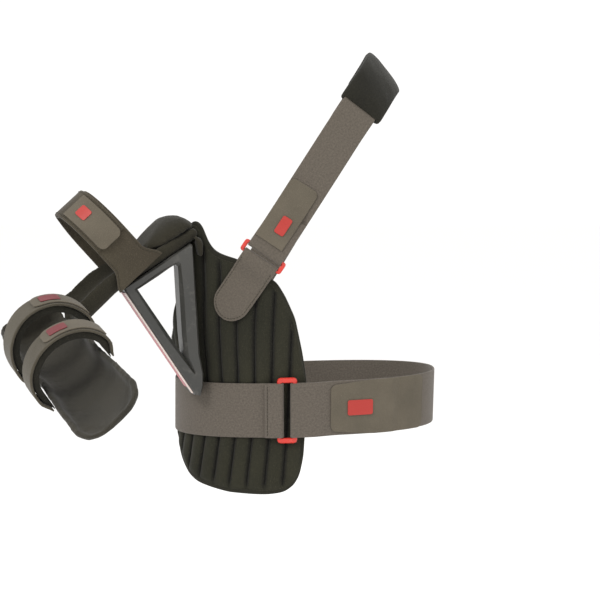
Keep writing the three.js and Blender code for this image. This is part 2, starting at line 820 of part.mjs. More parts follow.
// Shoulder pad: a cushioned sleeve that the strap runs through, wider over the crest
function shoulderPad() {
  const bottom = skinGap;
  const slotLow = strapUnder(crestRun) + skinGap - gap;
  const slotHigh = slotLow + webThickness + 2 * gap;
  const top = slotHigh + coverThickness;
  const runs = range(crestRun - shoulderPadFront, crestRun + shoulderPadRear, sleeveStep);
  const outline = (half) => {
    const side = (way) => [
      [way * (half - sleeveRound), bottom], [way * half, mix(bottom, top, 0.3)],
      [way * half, mix(bottom, top, 0.7)], [way * (half - sleeveRound), top],
    ];
    return [...side(1), ...side(-1).reverse()];
  };
  const rings = runs.map((run, index) => {
    const half = shoulderPadWidth / 2 + sleeveSwell * smooth(1 - Math.abs(run - crestRun) / shoulderPadRear);
    const ends = index === 0 || index === runs.length - 1 ? 1 : 0;
    return outline(half - ends).map(([across, off]) => strapPlace(run, shoulderPadShift + across, off));
  });
  const slotHalf = strapWidth / 2 + gap;
  const slotOutline = [
    [slotHalf, slotLow], [slotHalf, slotHigh], [-slotHalf, slotHigh], [-slotHalf, slotLow],
  ];
  const slotRuns = range(runs[0] - sleeveStep, runs[runs.length - 1] + sleeveStep, sleeveStep / 2);
  const slot = skin(
    slotRuns.map((run) => slotOutline.map(([across, off]) => strapPlace(run, across, off))), slotOutline,
  );
  return fromSolid(toSolid(skin(rings, outline(shoulderPadWidth / 2))).subtract(toSolid(slot)));
}

add('shoulder_pad', shoulderPad(), 'neoprene');

// The arm's upright plane: out from the trunk, forward, and up
const planeOut = vector(-Math.cos(frameYaw), -Math.sin(frameYaw), 0);
const planeFront = vector(Math.sin(frameYaw), -Math.cos(frameYaw), 0);

function armPlace(out, front, up) {
  return vector(frameFootOut, frameFootFront, 0)
    .addScaledVector(planeOut, out).addScaledVector(planeFront, front).setZ(up);
}

// A solid of the trunk and what it wears, to seat the rigid and padded pieces against
function trunkCutter() {
  const rings = range(cutterLow, cutterHigh, cutterStep).map((up) => {
    const onBelt = Math.abs(up - beltRoll * frameFootOut) < beltWidth / 2 + cutterBeltRoom;
    const off = padThickness + gap + (onBelt ? beltClear + webThickness : 0);
    const turns = range(0, 2 * Math.PI, 2 * Math.PI / cutterTurns).slice(1);
    return turns.map((turn) => trunkAtTurn(turn, up, off));
  });
  const outline = rings[0].map(({ x, y }) => [x, y]);
  return toSolid(skin(rings, outline));
}

const trunk = trunkCutter();

// Abduction frame: its outer edge and the edge of its opening, as shares of its reach and its rise
const frameOutline = [
  { outerOut: 0.29, outerUp: 0.949, innerOut: 0.41, innerUp: 0.838 },
  { outerOut: 0.158, outerUp: 0.9915, innerOut: 0.345, innerUp: 0.857 },
  { outerOut: 0.127, outerUp: 0.982, innerOut: 0.309, innerUp: 0.844 },
  { outerOut: 0.083, outerUp: 0.633, innerOut: 0.288, innerUp: 0.633 },
  { outerOut: 0.059, outerUp: 0.417, innerOut: 0.265, innerUp: 0.415 },
  { outerOut: 0.041, outerUp: 0.268, innerOut: 0.233, innerUp: 0.259 },
  { outerOut: -0.005, outerUp: 0.143, innerOut: 0.148, innerUp: 0.17 },
  { outerOut: 0.004, outerUp: 0.058, innerOut: 0.126, innerUp: 0.163 },
  { outerOut: 0.034, outerUp: 0, innerOut: 0.12, innerUp: 0.164 },
  { outerOut: 0.106, outerUp: 0.008, innerOut: 0.126, innerUp: 0.171 },
  { outerOut: 0.565, outerUp: 0.37, innerOut: 0.43, innerUp: 0.402 },
  { outerOut: 0.988, outerUp: 0.697, innerOut: 0.806, innerUp: 0.692 },
  { outerOut: 1, outerUp: 0.713, innerOut: 0.819, innerUp: 0.703 },
  { outerOut: 0.969, outerUp: 0.726, innerOut: 0.802, innerUp: 0.707 },
  { outerOut: 0.573, outerUp: 0.856, innerOut: 0.553, innerUp: 0.788 },
];

const frameUp = (share) => frameFootUp + share * frameRise;
const frameBack = frameFront - frameDepth;

function abductionFrame() {
  const rings = frameOutline.map(({ outerOut, outerUp, innerOut, innerUp }) => {
    const outer = new THREE.Vector2(outerOut * frameReach, frameUp(outerUp));
    const inner = new THREE.Vector2(innerOut * frameReach, frameUp(innerUp));
    const inward = inner.clone().sub(outer).normalize();
    const point = (from, inset, front) => {
      const spot = from.clone().addScaledVector(inward, inset);
      return armPlace(spot.x, front, spot.y);
    };
    return [
      point(outer, outerChamfer, frameFront), point(outer, 0, frameFront - outerChamfer),
      point(outer, 0, frameBack + outerChamfer), point(outer, outerChamfer, frameBack),
      point(inner, -innerChamfer, frameBack), point(inner, 0, frameBack + innerChamfer),
      point(inner, 0, frameFront - innerChamfer), point(inner, -innerChamfer, frameFront),
    ];
  });
  return fromSolid(mainBody(toSolid(skin(rings)).subtract(trunk)));
}

add('abduction_frame', abductionFrame(), 'frame');

// Two inlaid stripes on the strut's outer face, from its foot to the elbow corner
function strutStripe(start, frontEdge, width) {
  const foot = new THREE.Vector2(frameOutline[9].outerOut * frameReach, frameUp(frameOutline[9].outerUp));
  const head = new THREE.Vector2(frameOutline[11].outerOut * frameReach, frameUp(frameOutline[11].outerUp));
  const along = head.clone().sub(foot);
  const outward = new THREE.Vector2(along.y, -along.x).normalize();
  const low = foot.clone().addScaledVector(along, start).addScaledVector(outward, stripeSeat);
  const high = foot.clone().addScaledVector(along, stripeEnd).addScaledVector(outward, stripeSeat);
  const outline = [[0, 0], [1, 0], [1, 1], [0, 1]];
  const rings = [low, high].map((end) => outline.map(([out, back]) => {
    const spot = end.clone().addScaledVector(outward, out * stripeThickness);
    return armPlace(spot.x, frontEdge - back * width, spot.y);
  }));
  return skin(rings, outline);
}

const stripeFront = frameFront - outerChamfer;
const redStripeFront = stripeFront - whiteStripeWidth - gap;
add('strut_stripe_white', strutStripe(stripeStart, stripeFront, whiteStripeWidth), 'white');
add('strut_stripe_red', strutStripe(redStripeStart, redStripeFront, redStripeWidth), 'red');

// Arm pad: the line of its underside and the height of its rim, as shares of the frame's reach and
// rise and of the rim at the elbow
const armPadPath = [
  { out: 0.02, up: 1.039, rim: 0.6 },
  { out: 0.133, up: 1.002, rim: 0.6 },
  { out: 0.573, up: 0.857, rim: 0.7 },
  { out: 0.98, up: 0.724, rim: 0.92 },
  { out: 1.08, up: 0.683, rim: 0.96 },
  { out: 1.42, up: 0.517, rim: 1 },
  { out: 1.83, up: 0.305, rim: 1 },
];

function armPadStation(index) {
  const spot = (row) => new THREE.Vector2(row.out * frameReach, frameUp(row.up));
  const here = spot(armPadPath[index]);
  const before = spot(armPadPath[Math.max(0, index - 1)]);
  const after = spot(armPadPath[Math.min(armPadPath.length - 1, index + 1)]);
  const along = after.clone().sub(before).normalize();
  const out = new THREE.Vector2(-along.y, along.x);
  return { here, along, out, rim: armPadPath[index].rim * armPadRim };
}

// The gutter's section, front to back, and the hollow in it
const gutterOutside = (half, rim, lift) => {
  const side = (way) => [
    [way * half, rim], [way * half, gutterRound + lift],
    [way * (half - gutterRound * 0.4), gutterRound / 3 + lift], [way * (half - gutterRound), lift],
  ];
  return [...side(1), ...side(-1).reverse()];
};

const armPadMiddle = armPadFront - armPadWidth / 2;

function armPadSweep(half, rimExtra, lift, flatTop, lead = 0) {
  const outline = gutterOutside(half, armPadRim, lift);
  const rings = armPadPath.map((_, index) => {
    const { here, along, out, rim } = armPadStation(index);
    const height = flatTop ?? rim + rimExtra;
    return gutterOutside(half, height, lift).map(([front, up]) => {
      const spot = here.clone().addScaledVector(out, up).addScaledVector(along, index === 0 ? -lead : 0);
      return armPlace(spot.x, armPadMiddle + front, spot.y);
    });
  });
  return toSolid(skin(rings, outline));
}

const armHalf = armPadWidth / 2;
const armHollow = armPadSweep(armHalf - armPadWall, 0, armPadWall + gap, armHollowHeight);

// Forearm trough: it leaves the elbow forwards, inwards and down, and rolls towards the palm
const forearmWay = vector(
  Math.sin(forearmInward) * Math.cos(forearmDrop),
  -Math.cos(forearmInward) * Math.cos(forearmDrop),
  -Math.sin(forearmDrop),
);
const troughSections = [
  { along: 0, width: 0.8, depth: 0.82, rim: 1, roll: 28 },
  { along: 0.03, width: 0.93, depth: 0.93, rim: 1, roll: 28 },
  { along: 0.1, width: 1, depth: 1, rim: 1, roll: 28 },
  { along: 0.3, width: 0.98, depth: 1, rim: 1, roll: 28 },
  { along: 0.44, width: 0.93, depth: 0.97, rim: 1, roll: 29 },
  { along: 0.57, width: 0.89, depth: 0.92, rim: 1, roll: 31 },
  { along: 0.75, width: 0.99, depth: 0.8, rim: 0, roll: 35 },
  { along: 0.93, width: 1.02, depth: 0.64, rim: -1, roll: 39 },
  { along: 0.98, width: 0.93, depth: 0.58, rim: -2, roll: 39.5 },
  { along: 1, width: 0.74, depth: 0.5, rim: -3, roll: 39.5 },
];

const armEnd = armPadStation(armPadPath.length - 1);
const elbowSpot = armEnd.here.clone().add(new THREE.Vector2(elbowOut, elbowUp));
const elbow = armPlace(elbowSpot.x, armPadMiddle - elbowSetBack, elbowSpot.y);
const forearmOrigin = elbow.clone().addScaledVector(forearmWay, elbowLead);

// A place in the trough's frame: along from the near strap, outward across, and up
function forearmPlace(along, across, up) {
  const share = (along + elbowLength) / forearmLength;
  const roll = column(troughSections, 'roll', 'along', share) * Math.PI / 180;
  const side = vector(-Math.cos(roll), 0, -Math.sin(roll));
  side.addScaledVector(forearmWay, -side.dot(forearmWay)).normalize();
  const rise = new THREE.Vector3().crossVectors(side, forearmWay).normalize();
  return forearmOrigin.clone().addScaledVector(forearmWay, along)
    .addScaledVector(side, across).addScaledVector(rise, up);
}

const troughOutside = (half, rim, depth) => [
  [half, rim], [half, -0.4 * depth], [0.88 * half, -0.7 * depth], [0.6 * half, -0.93 * depth],
  [0.22 * half, -depth], [-0.22 * half, -depth], [-0.6 * half, -0.93 * depth],
  [-0.88 * half, -0.7 * depth], [-half, -0.4 * depth], [-half, rim],
];

function troughSize(share) {
  const read = (name) => column(troughSections, name, 'along', share);
  return {
    half: read('width') * troughWidth / 2, depth: read('depth') * troughDepth, rim: read('rim') * troughRim,
  };
}

function troughSweep(grow, from, to, lid) {
  const shares = troughSections.map(({ along }) => along).filter((along) => along > from && along < to);
  const rings = [from, ...shares, to].map((share) => {
    const { half, depth, rim } = troughSize(share);
    const along = share * forearmLength - elbowLength;
    return troughOutside(half + grow, lid ?? rim, depth + grow)
      .map(([across, up]) => forearmPlace(along, across, up));
  });
  return toSolid(skin(rings, troughOutside(troughWidth / 2, troughRim, troughDepth)));
}

const troughWallShare = troughWall / forearmLength;
const troughHollow = troughSweep(-troughWall, troughWallShare, 1.05, hollowLid);
const troughHull = troughSweep(gap, -gap / forearmLength, 1, hollowLid);
const trough = mainBody(troughSweep(0, 0, 1).subtract(troughHollow).subtract(armHollow));
add('forearm_trough', fromSolid(trough), 'padded');

const armPadBody = armPadSweep(armHalf, 0, gap)
  .subtract(armPadSweep(armHalf - armPadWall, 0, armPadWall + gap, armPadRim * 2));
add('arm_pad', fromSolid(mainBody(armPadBody.subtract(trunk).subtract(troughHull))), 'neoprene');

// Armpit pad: a crowned pillow over the inner end of the arm pad. Its foot line and crest are shares of
// the frame's reach and rise, and bulge is a share of the pillow's swell to the front.
const armpitSections = [
  { out: 0.9, foot: 0.78, crest: 0.85, bulge: 0 },
  { out: 0.84, foot: 0.8, crest: 0.88, bulge: 0 },
  { out: 0.72, foot: 0.86, crest: 0.955, bulge: 0 },
  { out: 0.62, foot: 0.91, crest: 1.02, bulge: 0 },
  { out: 0.53, foot: 0.94, crest: 1.08, bulge: 0.6 },
  { out: 0.4, foot: 0.98, crest: 1.155, bulge: 1 },
  { out: 0.24, foot: 1.02, crest: 1.18, bulge: 1 },
  { out: 0.1, foot: 1, crest: 1.145, bulge: 1 },
  { out: 0.06, foot: 0.9, crest: 1.12, bulge: 1 },
  { out: -0.02, foot: 0.88, crest: 1.04, bulge: 0.8 },
];

// One side of the pillow's section, from its foot to its crest: inset from the arm pad's side, share of
// the height, and how far it takes part in the bulge
const armpitShape = [
  { inset: 3, rise: 0, swell: 0 },
  { inset: 1, rise: 0.35, swell: 1 },
  { inset: 4, rise: 0.68, swell: 1 },
  { inset: 11, rise: 0.9, swell: 0 },
  { inset: 27, rise: 1, swell: 0 },
];

function armpitPad() {
  const outline = (foot, crest, bulge) => {
    const side = (way) => armpitShape.map(({ inset, rise, swell }) => (
      [armPadMiddle + way * (armHalf - inset + swell * bulge), mix(foot, crest, rise)]
    ));
    return [...side(1), ...side(-1).reverse()];
  };
  const rings = armpitSections.map(({ out, foot, crest, bulge }) => (
    outline(frameUp(foot), frameUp(crest), bulge * armpitSwell)
      .map(([front, up]) => armPlace(out * frameReach, front, up))
  ));
  const pillow = toSolid(skin(rings, outline(0, armPadRim, armpitSwell)));
  const seat = armPadSweep(armHalf + gap, gap, -gap, undefined, gap).subtract(
    armPadSweep(armHalf - armPadWall - pillowRoom, 0, armPadWall + pillowRoom, armPadRim * 2),
  );
  return fromSolid(mainBody(pillow.subtract(trunk).subtract(seat)));
}

add('armpit_pad', armpitPad(), 'neoprene');

// Loops of strap: up the front wall, over the limb and down the far wall. A loop is read by its length
// from the front foot, and gives a place across and up, and the way off it.
function loopRoute({ half, springUp, crown, frontFoot, rearFoot }) {
  const points = [];
  for (const up of range(frontFoot, springUp, loopWallStep)) points.push([half, up]);
  for (const angle of range(0, Math.PI, Math.PI / loopCrownSteps).slice(1, -1)) {
    points.push([half * Math.cos(angle), springUp + crown * Math.sin(angle)]);
  }
  for (const up of range(springUp, rearFoot, loopWallStep)) points.push([-half, up]);
  const lengths = [0];
  for (let step = 1; step < points.length; step += 1) {
    const [across, up] = points[step];
    const [lastAcross, lastUp] = points[step - 1];
    lengths.push(lengths[step - 1] + Math.hypot(across - lastAcross, up - lastUp));
  }
  return { points, lengths, length: lengths[lengths.length - 1] };
}

function onLoop({ points, lengths, length }, run, off) {
  const read = (place) => {
    const reach = Math.min(length - 0.001, Math.max(0, place));
    let step = 0;
    while (lengths[step + 1] < reach) step += 1;
    const share = (reach - lengths[step]) / (lengths[step + 1] - lengths[step]);
    return new THREE.Vector2(...points[step]).lerp(new THREE.Vector2(...points[step + 1]), share);
  };
  const along = read(run + loopReadStep).sub(read(run - loopReadStep)).normalize();
  return read(run).add(new THREE.Vector2(along.y, -along.x).multiplyScalar(off));
}

// Upper-arm strap, square to the upper arm above the frame's elbow corner
const armWay = new THREE.Vector2(Math.cos(armSlope), -Math.sin(armSlope));
const armRise = new THREE.Vector2(Math.sin(armSlope), Math.cos(armSlope));
const armLoopFoot = new THREE.Vector2(armLoopOut * frameReach, frameUp(armLoopHeight));
const armLoop = loopRoute({
  half: armHalf + gap, springUp: armLoopSpring, crown: armLoopUp - armLoopSpring,
  frontFoot: -armLoopFootDrop, rearFoot: -armLoopFootDrop,
});

function armLoopPlace(run, shift, off) {
  const spot = onLoop(armLoop, run, off);
  const side = armLoopFoot.clone().addScaledVector(armWay, shift).addScaledVector(armRise, spot.y);
  return armPlace(side.x, armPadMiddle + spot.x, side.y);
}

const armAcross = planeOut.clone().multiplyScalar(armWay.x).setZ(armWay.y);

function armBand(path, thickness) {
  return band(path.map(({ run, off, half, halfLow = half, shift = 0 }) => ({
    place: armLoopPlace(run, shift, off), across: armAcross, half, halfLow,
  })), thickness);
}

// The flap flares where it leaves the arm pad's front wall
const armStrapHalf = armStrapWidth / 2;
const flapFlare = (run) => armStrapHalf + flapFlareWidth * (1 - smooth(run / flapFlareRise));
const flapEnd = armLoop.length * flapShare;
const flapOff = neopreneThickness / 2;
add('upper_arm_flap', armBand(range(0, flapEnd, loopStep).map((run) => ({
  run, off: flapOff, half: flapFlare(run), halfLow: flapFlare(run) + flapLowExtra,
})), neopreneThickness), 'neoprene');

const strapOnFlap = flapOff + neopreneThickness + gap;
const armStrapStart = armLoop.length * armStrapFrom;
add('upper_arm_strap', armBand(range(armStrapStart, armLoop.length, loopStep).map((run) => ({
  run, half: armStrapHalf,
  off: mix(strapOnFlap, flapOff, smooth((run - flapEnd - flapLead) / armStrapSettle)),
})), neopreneThickness), 'neoprene');

const armTabOff = strapOnFlap + neopreneThickness / 2 + gap + tabThickness / 2;
const armTabStart = armStrapStart - armTabLead;
const armTabEnd = armLoop.length * armTabTo;
function armTab() {
  return tabPlaces(armTabStart, armTabEnd, false).map((run) => ({
    run, off: armTabOff, half: roundedHalf(armTabWidth / 2, tabCorner, run - armTabStart),
  }));
}
add('upper_arm_tab', armBand(armTab(), tabThickness), 'tab');

const armPatchOff = armTabOff + tabThickness / 2 + gap + patchThickness / 2;
const armPatchEnd = armTabEnd - armPatchInset;
add('upper_arm_patch', armBand(range(armPatchEnd - armPatch, armPatchEnd, loopPatchStep).map((run) => ({
  run, off: armPatchOff, half: armPatch / 2,
})), patchThickness), 'red');

// Forearm straps: each has a padded liner, a band over it, a grip tab and a patch. They are placed by
// their middle along the forearm, the height of their crown over the trough's frame and the share of
// the loop where the tab starts.
const forearmStraps = [
  { name: 'forearm_near', along: 24, crown: 53, tabFrom: 0.55 },
  { name: 'forearm_far', along: 108, crown: 43, tabFrom: 0.49 },
];

function forearmStrap({ name, along, crown, tabFrom }) {
  const edges = [-1, 1].map((side) => along + side * forearmStrapWidth / 2);
  const half = Math.max(...edges.map((edge) => troughSize((edge + elbowLength) / forearmLength).half));
  const springUp = troughRim + rimRoom;
  const loop = loopRoute({
    half: half + gap, springUp, crown: crown - springUp,
    frontFoot: -forearmFoot, rearFoot: -forearmFoot * forearmRearShare,
  });
  const place = (run, off) => {
    const spot = onLoop(loop, run, off);
    return forearmPlace(along, spot.x, spot.y);
  };
  const build = (path, width, thickness) => band(path.map(({ run, off, half: side = width / 2 }) => ({
    place: place(run, off), across: forearmWay, half: side,
  })), thickness);
  const linerTop = linerThickness + gap;
  const bandOff = (run) => {
    const nearFoot = Math.min(run, loop.length - run) / forearmEase;
    return linerTop + neopreneThickness / 2 + linerGap * smooth(nearFoot);
  };
  const linerPath = range(0, loop.length, loopStep).map((run) => ({ run, off: linerThickness / 2 }));
  add(`${name}_liner`, build(linerPath, forearmStrapWidth - linerInset, linerThickness), 'padded');
  const bandPath = range(0, loop.length, loopStep).map((run) => ({ run, off: bandOff(run) }));
  add(`${name}_strap`, build(bandPath, forearmStrapWidth, neopreneThickness), 'padded');
  const tabStart = loop.length * tabFrom;
  const tabOff = (run) => bandOff(run) + neopreneThickness / 2 + gap + tabThickness / 2;
  const tabPath = tabPlaces(tabStart, loop.length * forearmTabTo, false).map((run) => ({
    run, off: tabOff(run), half: roundedHalf(forearmTabWidth / 2, tabCorner, run - tabStart),
  }));
  add(`${name}_tab`, build(tabPath, forearmTabWidth, tabThickness), 'tab');
  const patchFrom = tabStart + forearmPatchInset;
  const patchPath = range(patchFrom, patchFrom + forearmPatchLength, loopPatchStep).map((run) => ({
    run, off: tabOff(run) + tabThickness / 2 + gap + patchThickness / 2,
  }));
  add(`${name}_patch`, build(patchPath, forearmPatchWidth, patchThickness), 'red');
}

forearmStraps.forEach(forearmStrap);

// The origin is the underside of the shoulder pad at its crest
brace.position.copy(strapPlace(crestRun, 0, skinGap)).negate();

export default brace;
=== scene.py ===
import math

import bpy
import numpy as np
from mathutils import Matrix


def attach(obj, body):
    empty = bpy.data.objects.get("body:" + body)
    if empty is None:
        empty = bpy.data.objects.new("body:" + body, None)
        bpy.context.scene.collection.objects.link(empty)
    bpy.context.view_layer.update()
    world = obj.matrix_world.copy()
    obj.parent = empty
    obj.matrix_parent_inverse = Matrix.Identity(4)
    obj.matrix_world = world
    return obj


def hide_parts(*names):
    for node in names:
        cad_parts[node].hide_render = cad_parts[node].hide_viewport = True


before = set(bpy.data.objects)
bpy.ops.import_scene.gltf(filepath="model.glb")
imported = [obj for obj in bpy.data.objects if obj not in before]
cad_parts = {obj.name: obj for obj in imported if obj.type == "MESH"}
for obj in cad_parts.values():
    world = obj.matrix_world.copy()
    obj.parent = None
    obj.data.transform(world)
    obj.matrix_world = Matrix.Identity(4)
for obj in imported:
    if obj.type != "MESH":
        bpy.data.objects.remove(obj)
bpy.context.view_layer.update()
bpy.ops.object.select_all(action="DESELECT")

# The brace's own measures in millimetres, the same as in its solids
WAIST_WIDTH = 330
WAIST_DEPTH = 224
TRUNK_RISE = 250
TRUNK_POWER = 2.3
SHOULDER_HEIGHT = 440
SHOULDER_OUT = 90
SHOULDER_FALL = 1.3
SHOULDER_SET_BACK = 20
GAP = 0.4
SKIN_GAP = 0.6
BELT_CLEAR = 0.9
PAD_THICKNESS = 9
PAD_EDGE = 5
WEB_THICKNESS = 2.6
TAB_THICKNESS = 1.8
NEOPRENE = 3.4
CHANNEL_PITCH = 23
CHANNELS = 18
CHANNEL_LEAN = 0.06
PAD_FRONT = -3
PAD_RISE = 244
PAD_DROP = 112
PAD_SPAN = CHANNEL_PITCH * CHANNELS
BELT_WIDTH = 71
BELT_ROLL = 0.03
RING_ALONG = -26
BELT_RING_WIDTH = 25
BELT_BAR = 5.5
RING_THICKNESS = 3
BELT_FOLD = 124
BELT_SEWN_END = 408
BELT_TAB_START = 29
BELT_TAB_LENGTH = 138
BELT_TAB_WIDTH = 62
STRAP_WIDTH = 50
STRAP_LEAN = math.radians(32.7)
REAR_LEAN = math.radians(31)
RING_OUT = -57
RING_UP = 199
SHOULDER_RING_LENGTH = 17
SHOULDER_BAR = 3.6
ANCHOR_LENGTH = 98
STRAP_FOLD = 61
STRAP_TAB_START = 19
STRAP_TAB_END = 105
STRAP_TAB_WIDTH = 41
STRAP_TAB_SHIFT = -4
REAR_ANCHOR_UP = 62
SLEEVE_WIDTH = 62
SLEEVE_SHIFT = 1.5
SLEEVE_FRONT = 135
SLEEVE_REAR = 90
CUSHION = 7
COVER = 2.4
FRAME_YAW = math.radians(17)
FRAME_FOOT_OUT = -140.4
FRAME_FOOT_FRONT = -97.7
FRAME_REACH = 104.8
FRAME_RISE = 200.7
FRAME_FOOT_UP = 16.3
ARM_PAD_WIDTH = 110
ARM_PAD_FRONT = 20
ARM_PAD_RIM = 28
ARM_SLOPE = math.radians(42)
ARM_LOOP_UP = 110
ARM_STRAP_WIDTH = 46
ARM_TAB_WIDTH = 36
FOREARM_LENGTH = 378
ELBOW_LENGTH = 127
TROUGH_WIDTH = 94
TROUGH_DEPTH = 46
TROUGH_RIM = 4
FOREARM_STRAP_WIDTH = 38
LINER = 8
LINER_GAP = 1
PATCH_THICKNESS = 0.8
PATCH_GAP = 0.7


def clamp(value):
    return min(1.0, max(0.0, value))


def smooth(value):
    eased = clamp(value)
    return eased * eased * (3 - 2 * eased)


def mix(low, high, share):
    return low + (high - low) * share


def spread(low, high, step):
    count = max(1, round(abs(high - low) / step))
    return [mix(low, high, index / count) for index in range(count + 1)]


def read_table(rows, place):
    """One row of a table of sections, read at a place between its rows; the place is its first column."""
    row = 0
    while row < len(rows) - 2 and place > rows[row + 1][0]:
        row += 1
    share = clamp((place - rows[row][0]) / (rows[row + 1][0] - rows[row][0]))
    return [mix(low, high, share) for low, high in zip(rows[row], rows[row + 1])]


# The trunk that the pad, belt and strap lie on
TRUNK_SECTIONS = [(-0.52, 1.067, 1.063), (0, 1, 1), (0.52, 1.091, 1.08), (1, 1.152, 1.116)]


def trunk_half(up):
    row = 0
    while row < len(TRUNK_SECTIONS) - 2 and up > TRUNK_SECTIONS[row + 1][0] * TRUNK_RISE:
        row += 1
    low, high = TRUNK_SECTIONS[row], TRUNK_SECTIONS[row + 1]
    share = smooth((up / TRUNK_RISE - low[0]) / (high[0] - low[0]))
    return mix(low[1], high[1], share) * WAIST_WIDTH / 2, mix(low[2], high[2], share) * WAIST_DEPTH / 2


def trunk_at_turn(turn, up, off):
    width, depth = trunk_half(up)
    power = 2 / TRUNK_POWER
    side, front = math.sin(turn), math.cos(turn)
    x = (width + off) * math.copysign(abs(side) ** power, side)
    y = -(depth + off) * math.copysign(abs(front) ** power, front)
    return np.array((x, y, up))


GIRTH_STEPS = 720
girth = [0.0]
for step in range(1, GIRTH_STEPS + 1):
    before = trunk_at_turn((step - 1) * math.pi / GIRTH_STEPS, 0, PAD_THICKNESS)
    after = trunk_at_turn(step * math.pi / GIRTH_STEPS, 0, PAD_THICKNESS)
    girth.append(girth[-1] + float(np.linalg.norm(after - before)))
HALF_GIRTH = girth[-1]


def turn_along(along):
    lap = abs(along)
    if lap > HALF_GIRTH:
        return math.copysign(2 * math.pi - abs(turn_along(2 * HALF_GIRTH - lap)), along)
    return math.copysign(float(np.interp(lap, girth, range(GIRTH_STEPS + 1))) * math.pi / GIRTH_STEPS, along)


def on_trunk(along, up, off):
    return trunk_at_turn(turn_along(along), up, off)


def along_at(x, up):
    """How far round the front the trunk has this place across."""
    low, high = -HALF_GIRTH / 2, HALF_GIRTH / 2
    for _ in range(40):
        middle = (low + high) / 2
        if on_trunk(middle, up, PAD_THICKNESS)[0] > x:
            high = middle
        else:
            low = middle
    return low


# The way over the shoulder
def crest_up(x):
    return SHOULDER_HEIGHT - SHOULDER_FALL * (x - SHOULDER_OUT)


WAY_X, WAY_Z = math.sin(STRAP_LEAN), math.cos(STRAP_LEAN)
CREST_SHARE = (crest_up(RING_OUT) - RING_UP) / (WAY_Z + SHOULDER_FALL * WAY_X)
CREST_X = RING_OUT + WAY_X * CREST_SHARE
CREST_Z = crest_up(CREST_X)


def shoulder_field(place):
    x, y, z = place
    width, depth = trunk_half(min(z, TRUNK_RISE))
    climb = max(0.0, (z - TRUNK_RISE) / (crest_up(x) - TRUNK_RISE))
    set_back = SHOULDER_SET_BACK * min(1, climb) ** 2
    across = 1 - abs(x / width) ** TRUNK_POWER
    return abs((y - set_back) / depth) ** TRUNK_POWER - across * (1 - climb**TRUNK_POWER)


def on_shoulder(x, z, side):
    width, depth = trunk_half(min(z, TRUNK_RISE))
    climb = max(0.0, (z - TRUNK_RISE) / (crest_up(x) - TRUNK_RISE))
    rest = max(0.0, (1 - abs(x / width) ** TRUNK_POWER) * (1 - climb**TRUNK_POWER))
    set_back = SHOULDER_SET_BACK * min(1, climb) ** 2
    return np.array((x, set_back + side * depth * rest ** (1 / TRUNK_POWER), z))


ROUTE_STEPS = 120
ROUTE_BELOW = 115
END_ROOM = 12
strap_route = []
for step in range(ROUTE_STEPS + 1):
    rise = math.sin(step / ROUTE_STEPS * math.pi / 2) * (CREST_SHARE + ROUTE_BELOW) - ROUTE_BELOW
    strap_route.append(on_shoulder(RING_OUT + WAY_X * rise, RING_UP + WAY_Z * rise, -1))
for step in range(ROUTE_STEPS - 1, -1, -1):
    drop = (1 - math.sin(step / ROUTE_STEPS * math.pi / 2)) * (CREST_Z - REAR_ANCHOR_UP + END_ROOM)
    strap_route.append(on_shoulder(CREST_X - math.tan(REAR_LEAN) * drop, CREST_Z - drop, 1))
strap_route = np.array(strap_route)
strap_runs = np.concatenate(([0], np.cumsum(np.linalg.norm(np.diff(strap_route, axis=0), axis=1))))
RING_RUN = strap_runs[next(i for i, place in enumerate(strap_route) if place[2] >= RING_UP)]
CREST_RUN = strap_runs[ROUTE_STEPS] - RING_RUN
REAR_RUN = strap_runs[-1] - RING_RUN - END_ROOM


def strap_centre(run):
    reach = min(strap_runs[-1] - 0.001, max(0.0, run + RING_RUN))
    return np.array([np.interp(reach, strap_runs, strap_route[:, axis]) for axis in range(3)])


strap_frames = {}


def strap_frame(run):
    key = round(float(run), 4)
    if key not in strap_frames:
        place = strap_centre(run)
        along = strap_centre(run + 4) - strap_centre(run - 4)
        along /= np.linalg.norm(along)
        steps = np.eye(3) * 0.5
        slope = np.array([shoulder_field(place + step) - shoulder_field(place - step) for step in steps])
        across = np.cross(along, slope)
        across /= np.linalg.norm(across)
        strap_frames[key] = place, np.cross(across, along), across
    return strap_frames[key]


def strap_place(run, across, off):
    place, out, side = strap_frame(run)
    return place + side * across + out * off


PAD_LEAVE = 4
STRAP_EASE = 45
WING_REACH = 58


def strap_under(run):
    off_pad = 1 - smooth((run - PAD_LEAVE) / STRAP_EASE)
    on_wing = smooth((run - REAR_RUN + WING_REACH + STRAP_EASE) / STRAP_EASE)
    in_sleeve = smooth((run - CREST_RUN + SLEEVE_FRONT + STRAP_EASE) / STRAP_EASE)
    in_sleeve *= 1 - smooth((run - CREST_RUN - SLEEVE_REAR) / STRAP_EASE)
    return max((PAD_THICKNESS + SKIN_GAP) * max(off_pad, on_wing), (CUSHION + GAP) * in_sleeve)


def strap_inner(run):
    return strap_under(run) + SKIN_GAP + WEB_THICKNESS / 2


STRAP_RING_OFF = strap_inner(0) + WEB_THICKNESS / 2 + GAP + RING_THICKNESS / 2
STRAP_OUTER = STRAP_RING_OFF + RING_THICKNESS / 2 + GAP + WEB_THICKNESS / 2
STRAP_BAR_ALONG = (SHOULDER_RING_LENGTH - SHOULDER_BAR) / 2
STRAP_SETTLE = 36
TAB_LEAD = 4
TAB_STEP = 10


def strap_fold_off(run):
    lower = strap_inner(run) + WEB_THICKNESS + GAP
    return mix(STRAP_OUTER, lower, smooth((run - STRAP_BAR_ALONG) / STRAP_SETTLE))


def strap_fold_top(run):
    on_fold = strap_fold_off(run) + WEB_THICKNESS / 2
    on_strap = strap_inner(run) + WEB_THICKNESS / 2
    return mix(on_fold, on_strap, smooth((run - STRAP_FOLD - TAB_LEAD) / TAB_STEP))


# The belt's layers
BELT_EASE = 42
BELT_SETTLE = 40


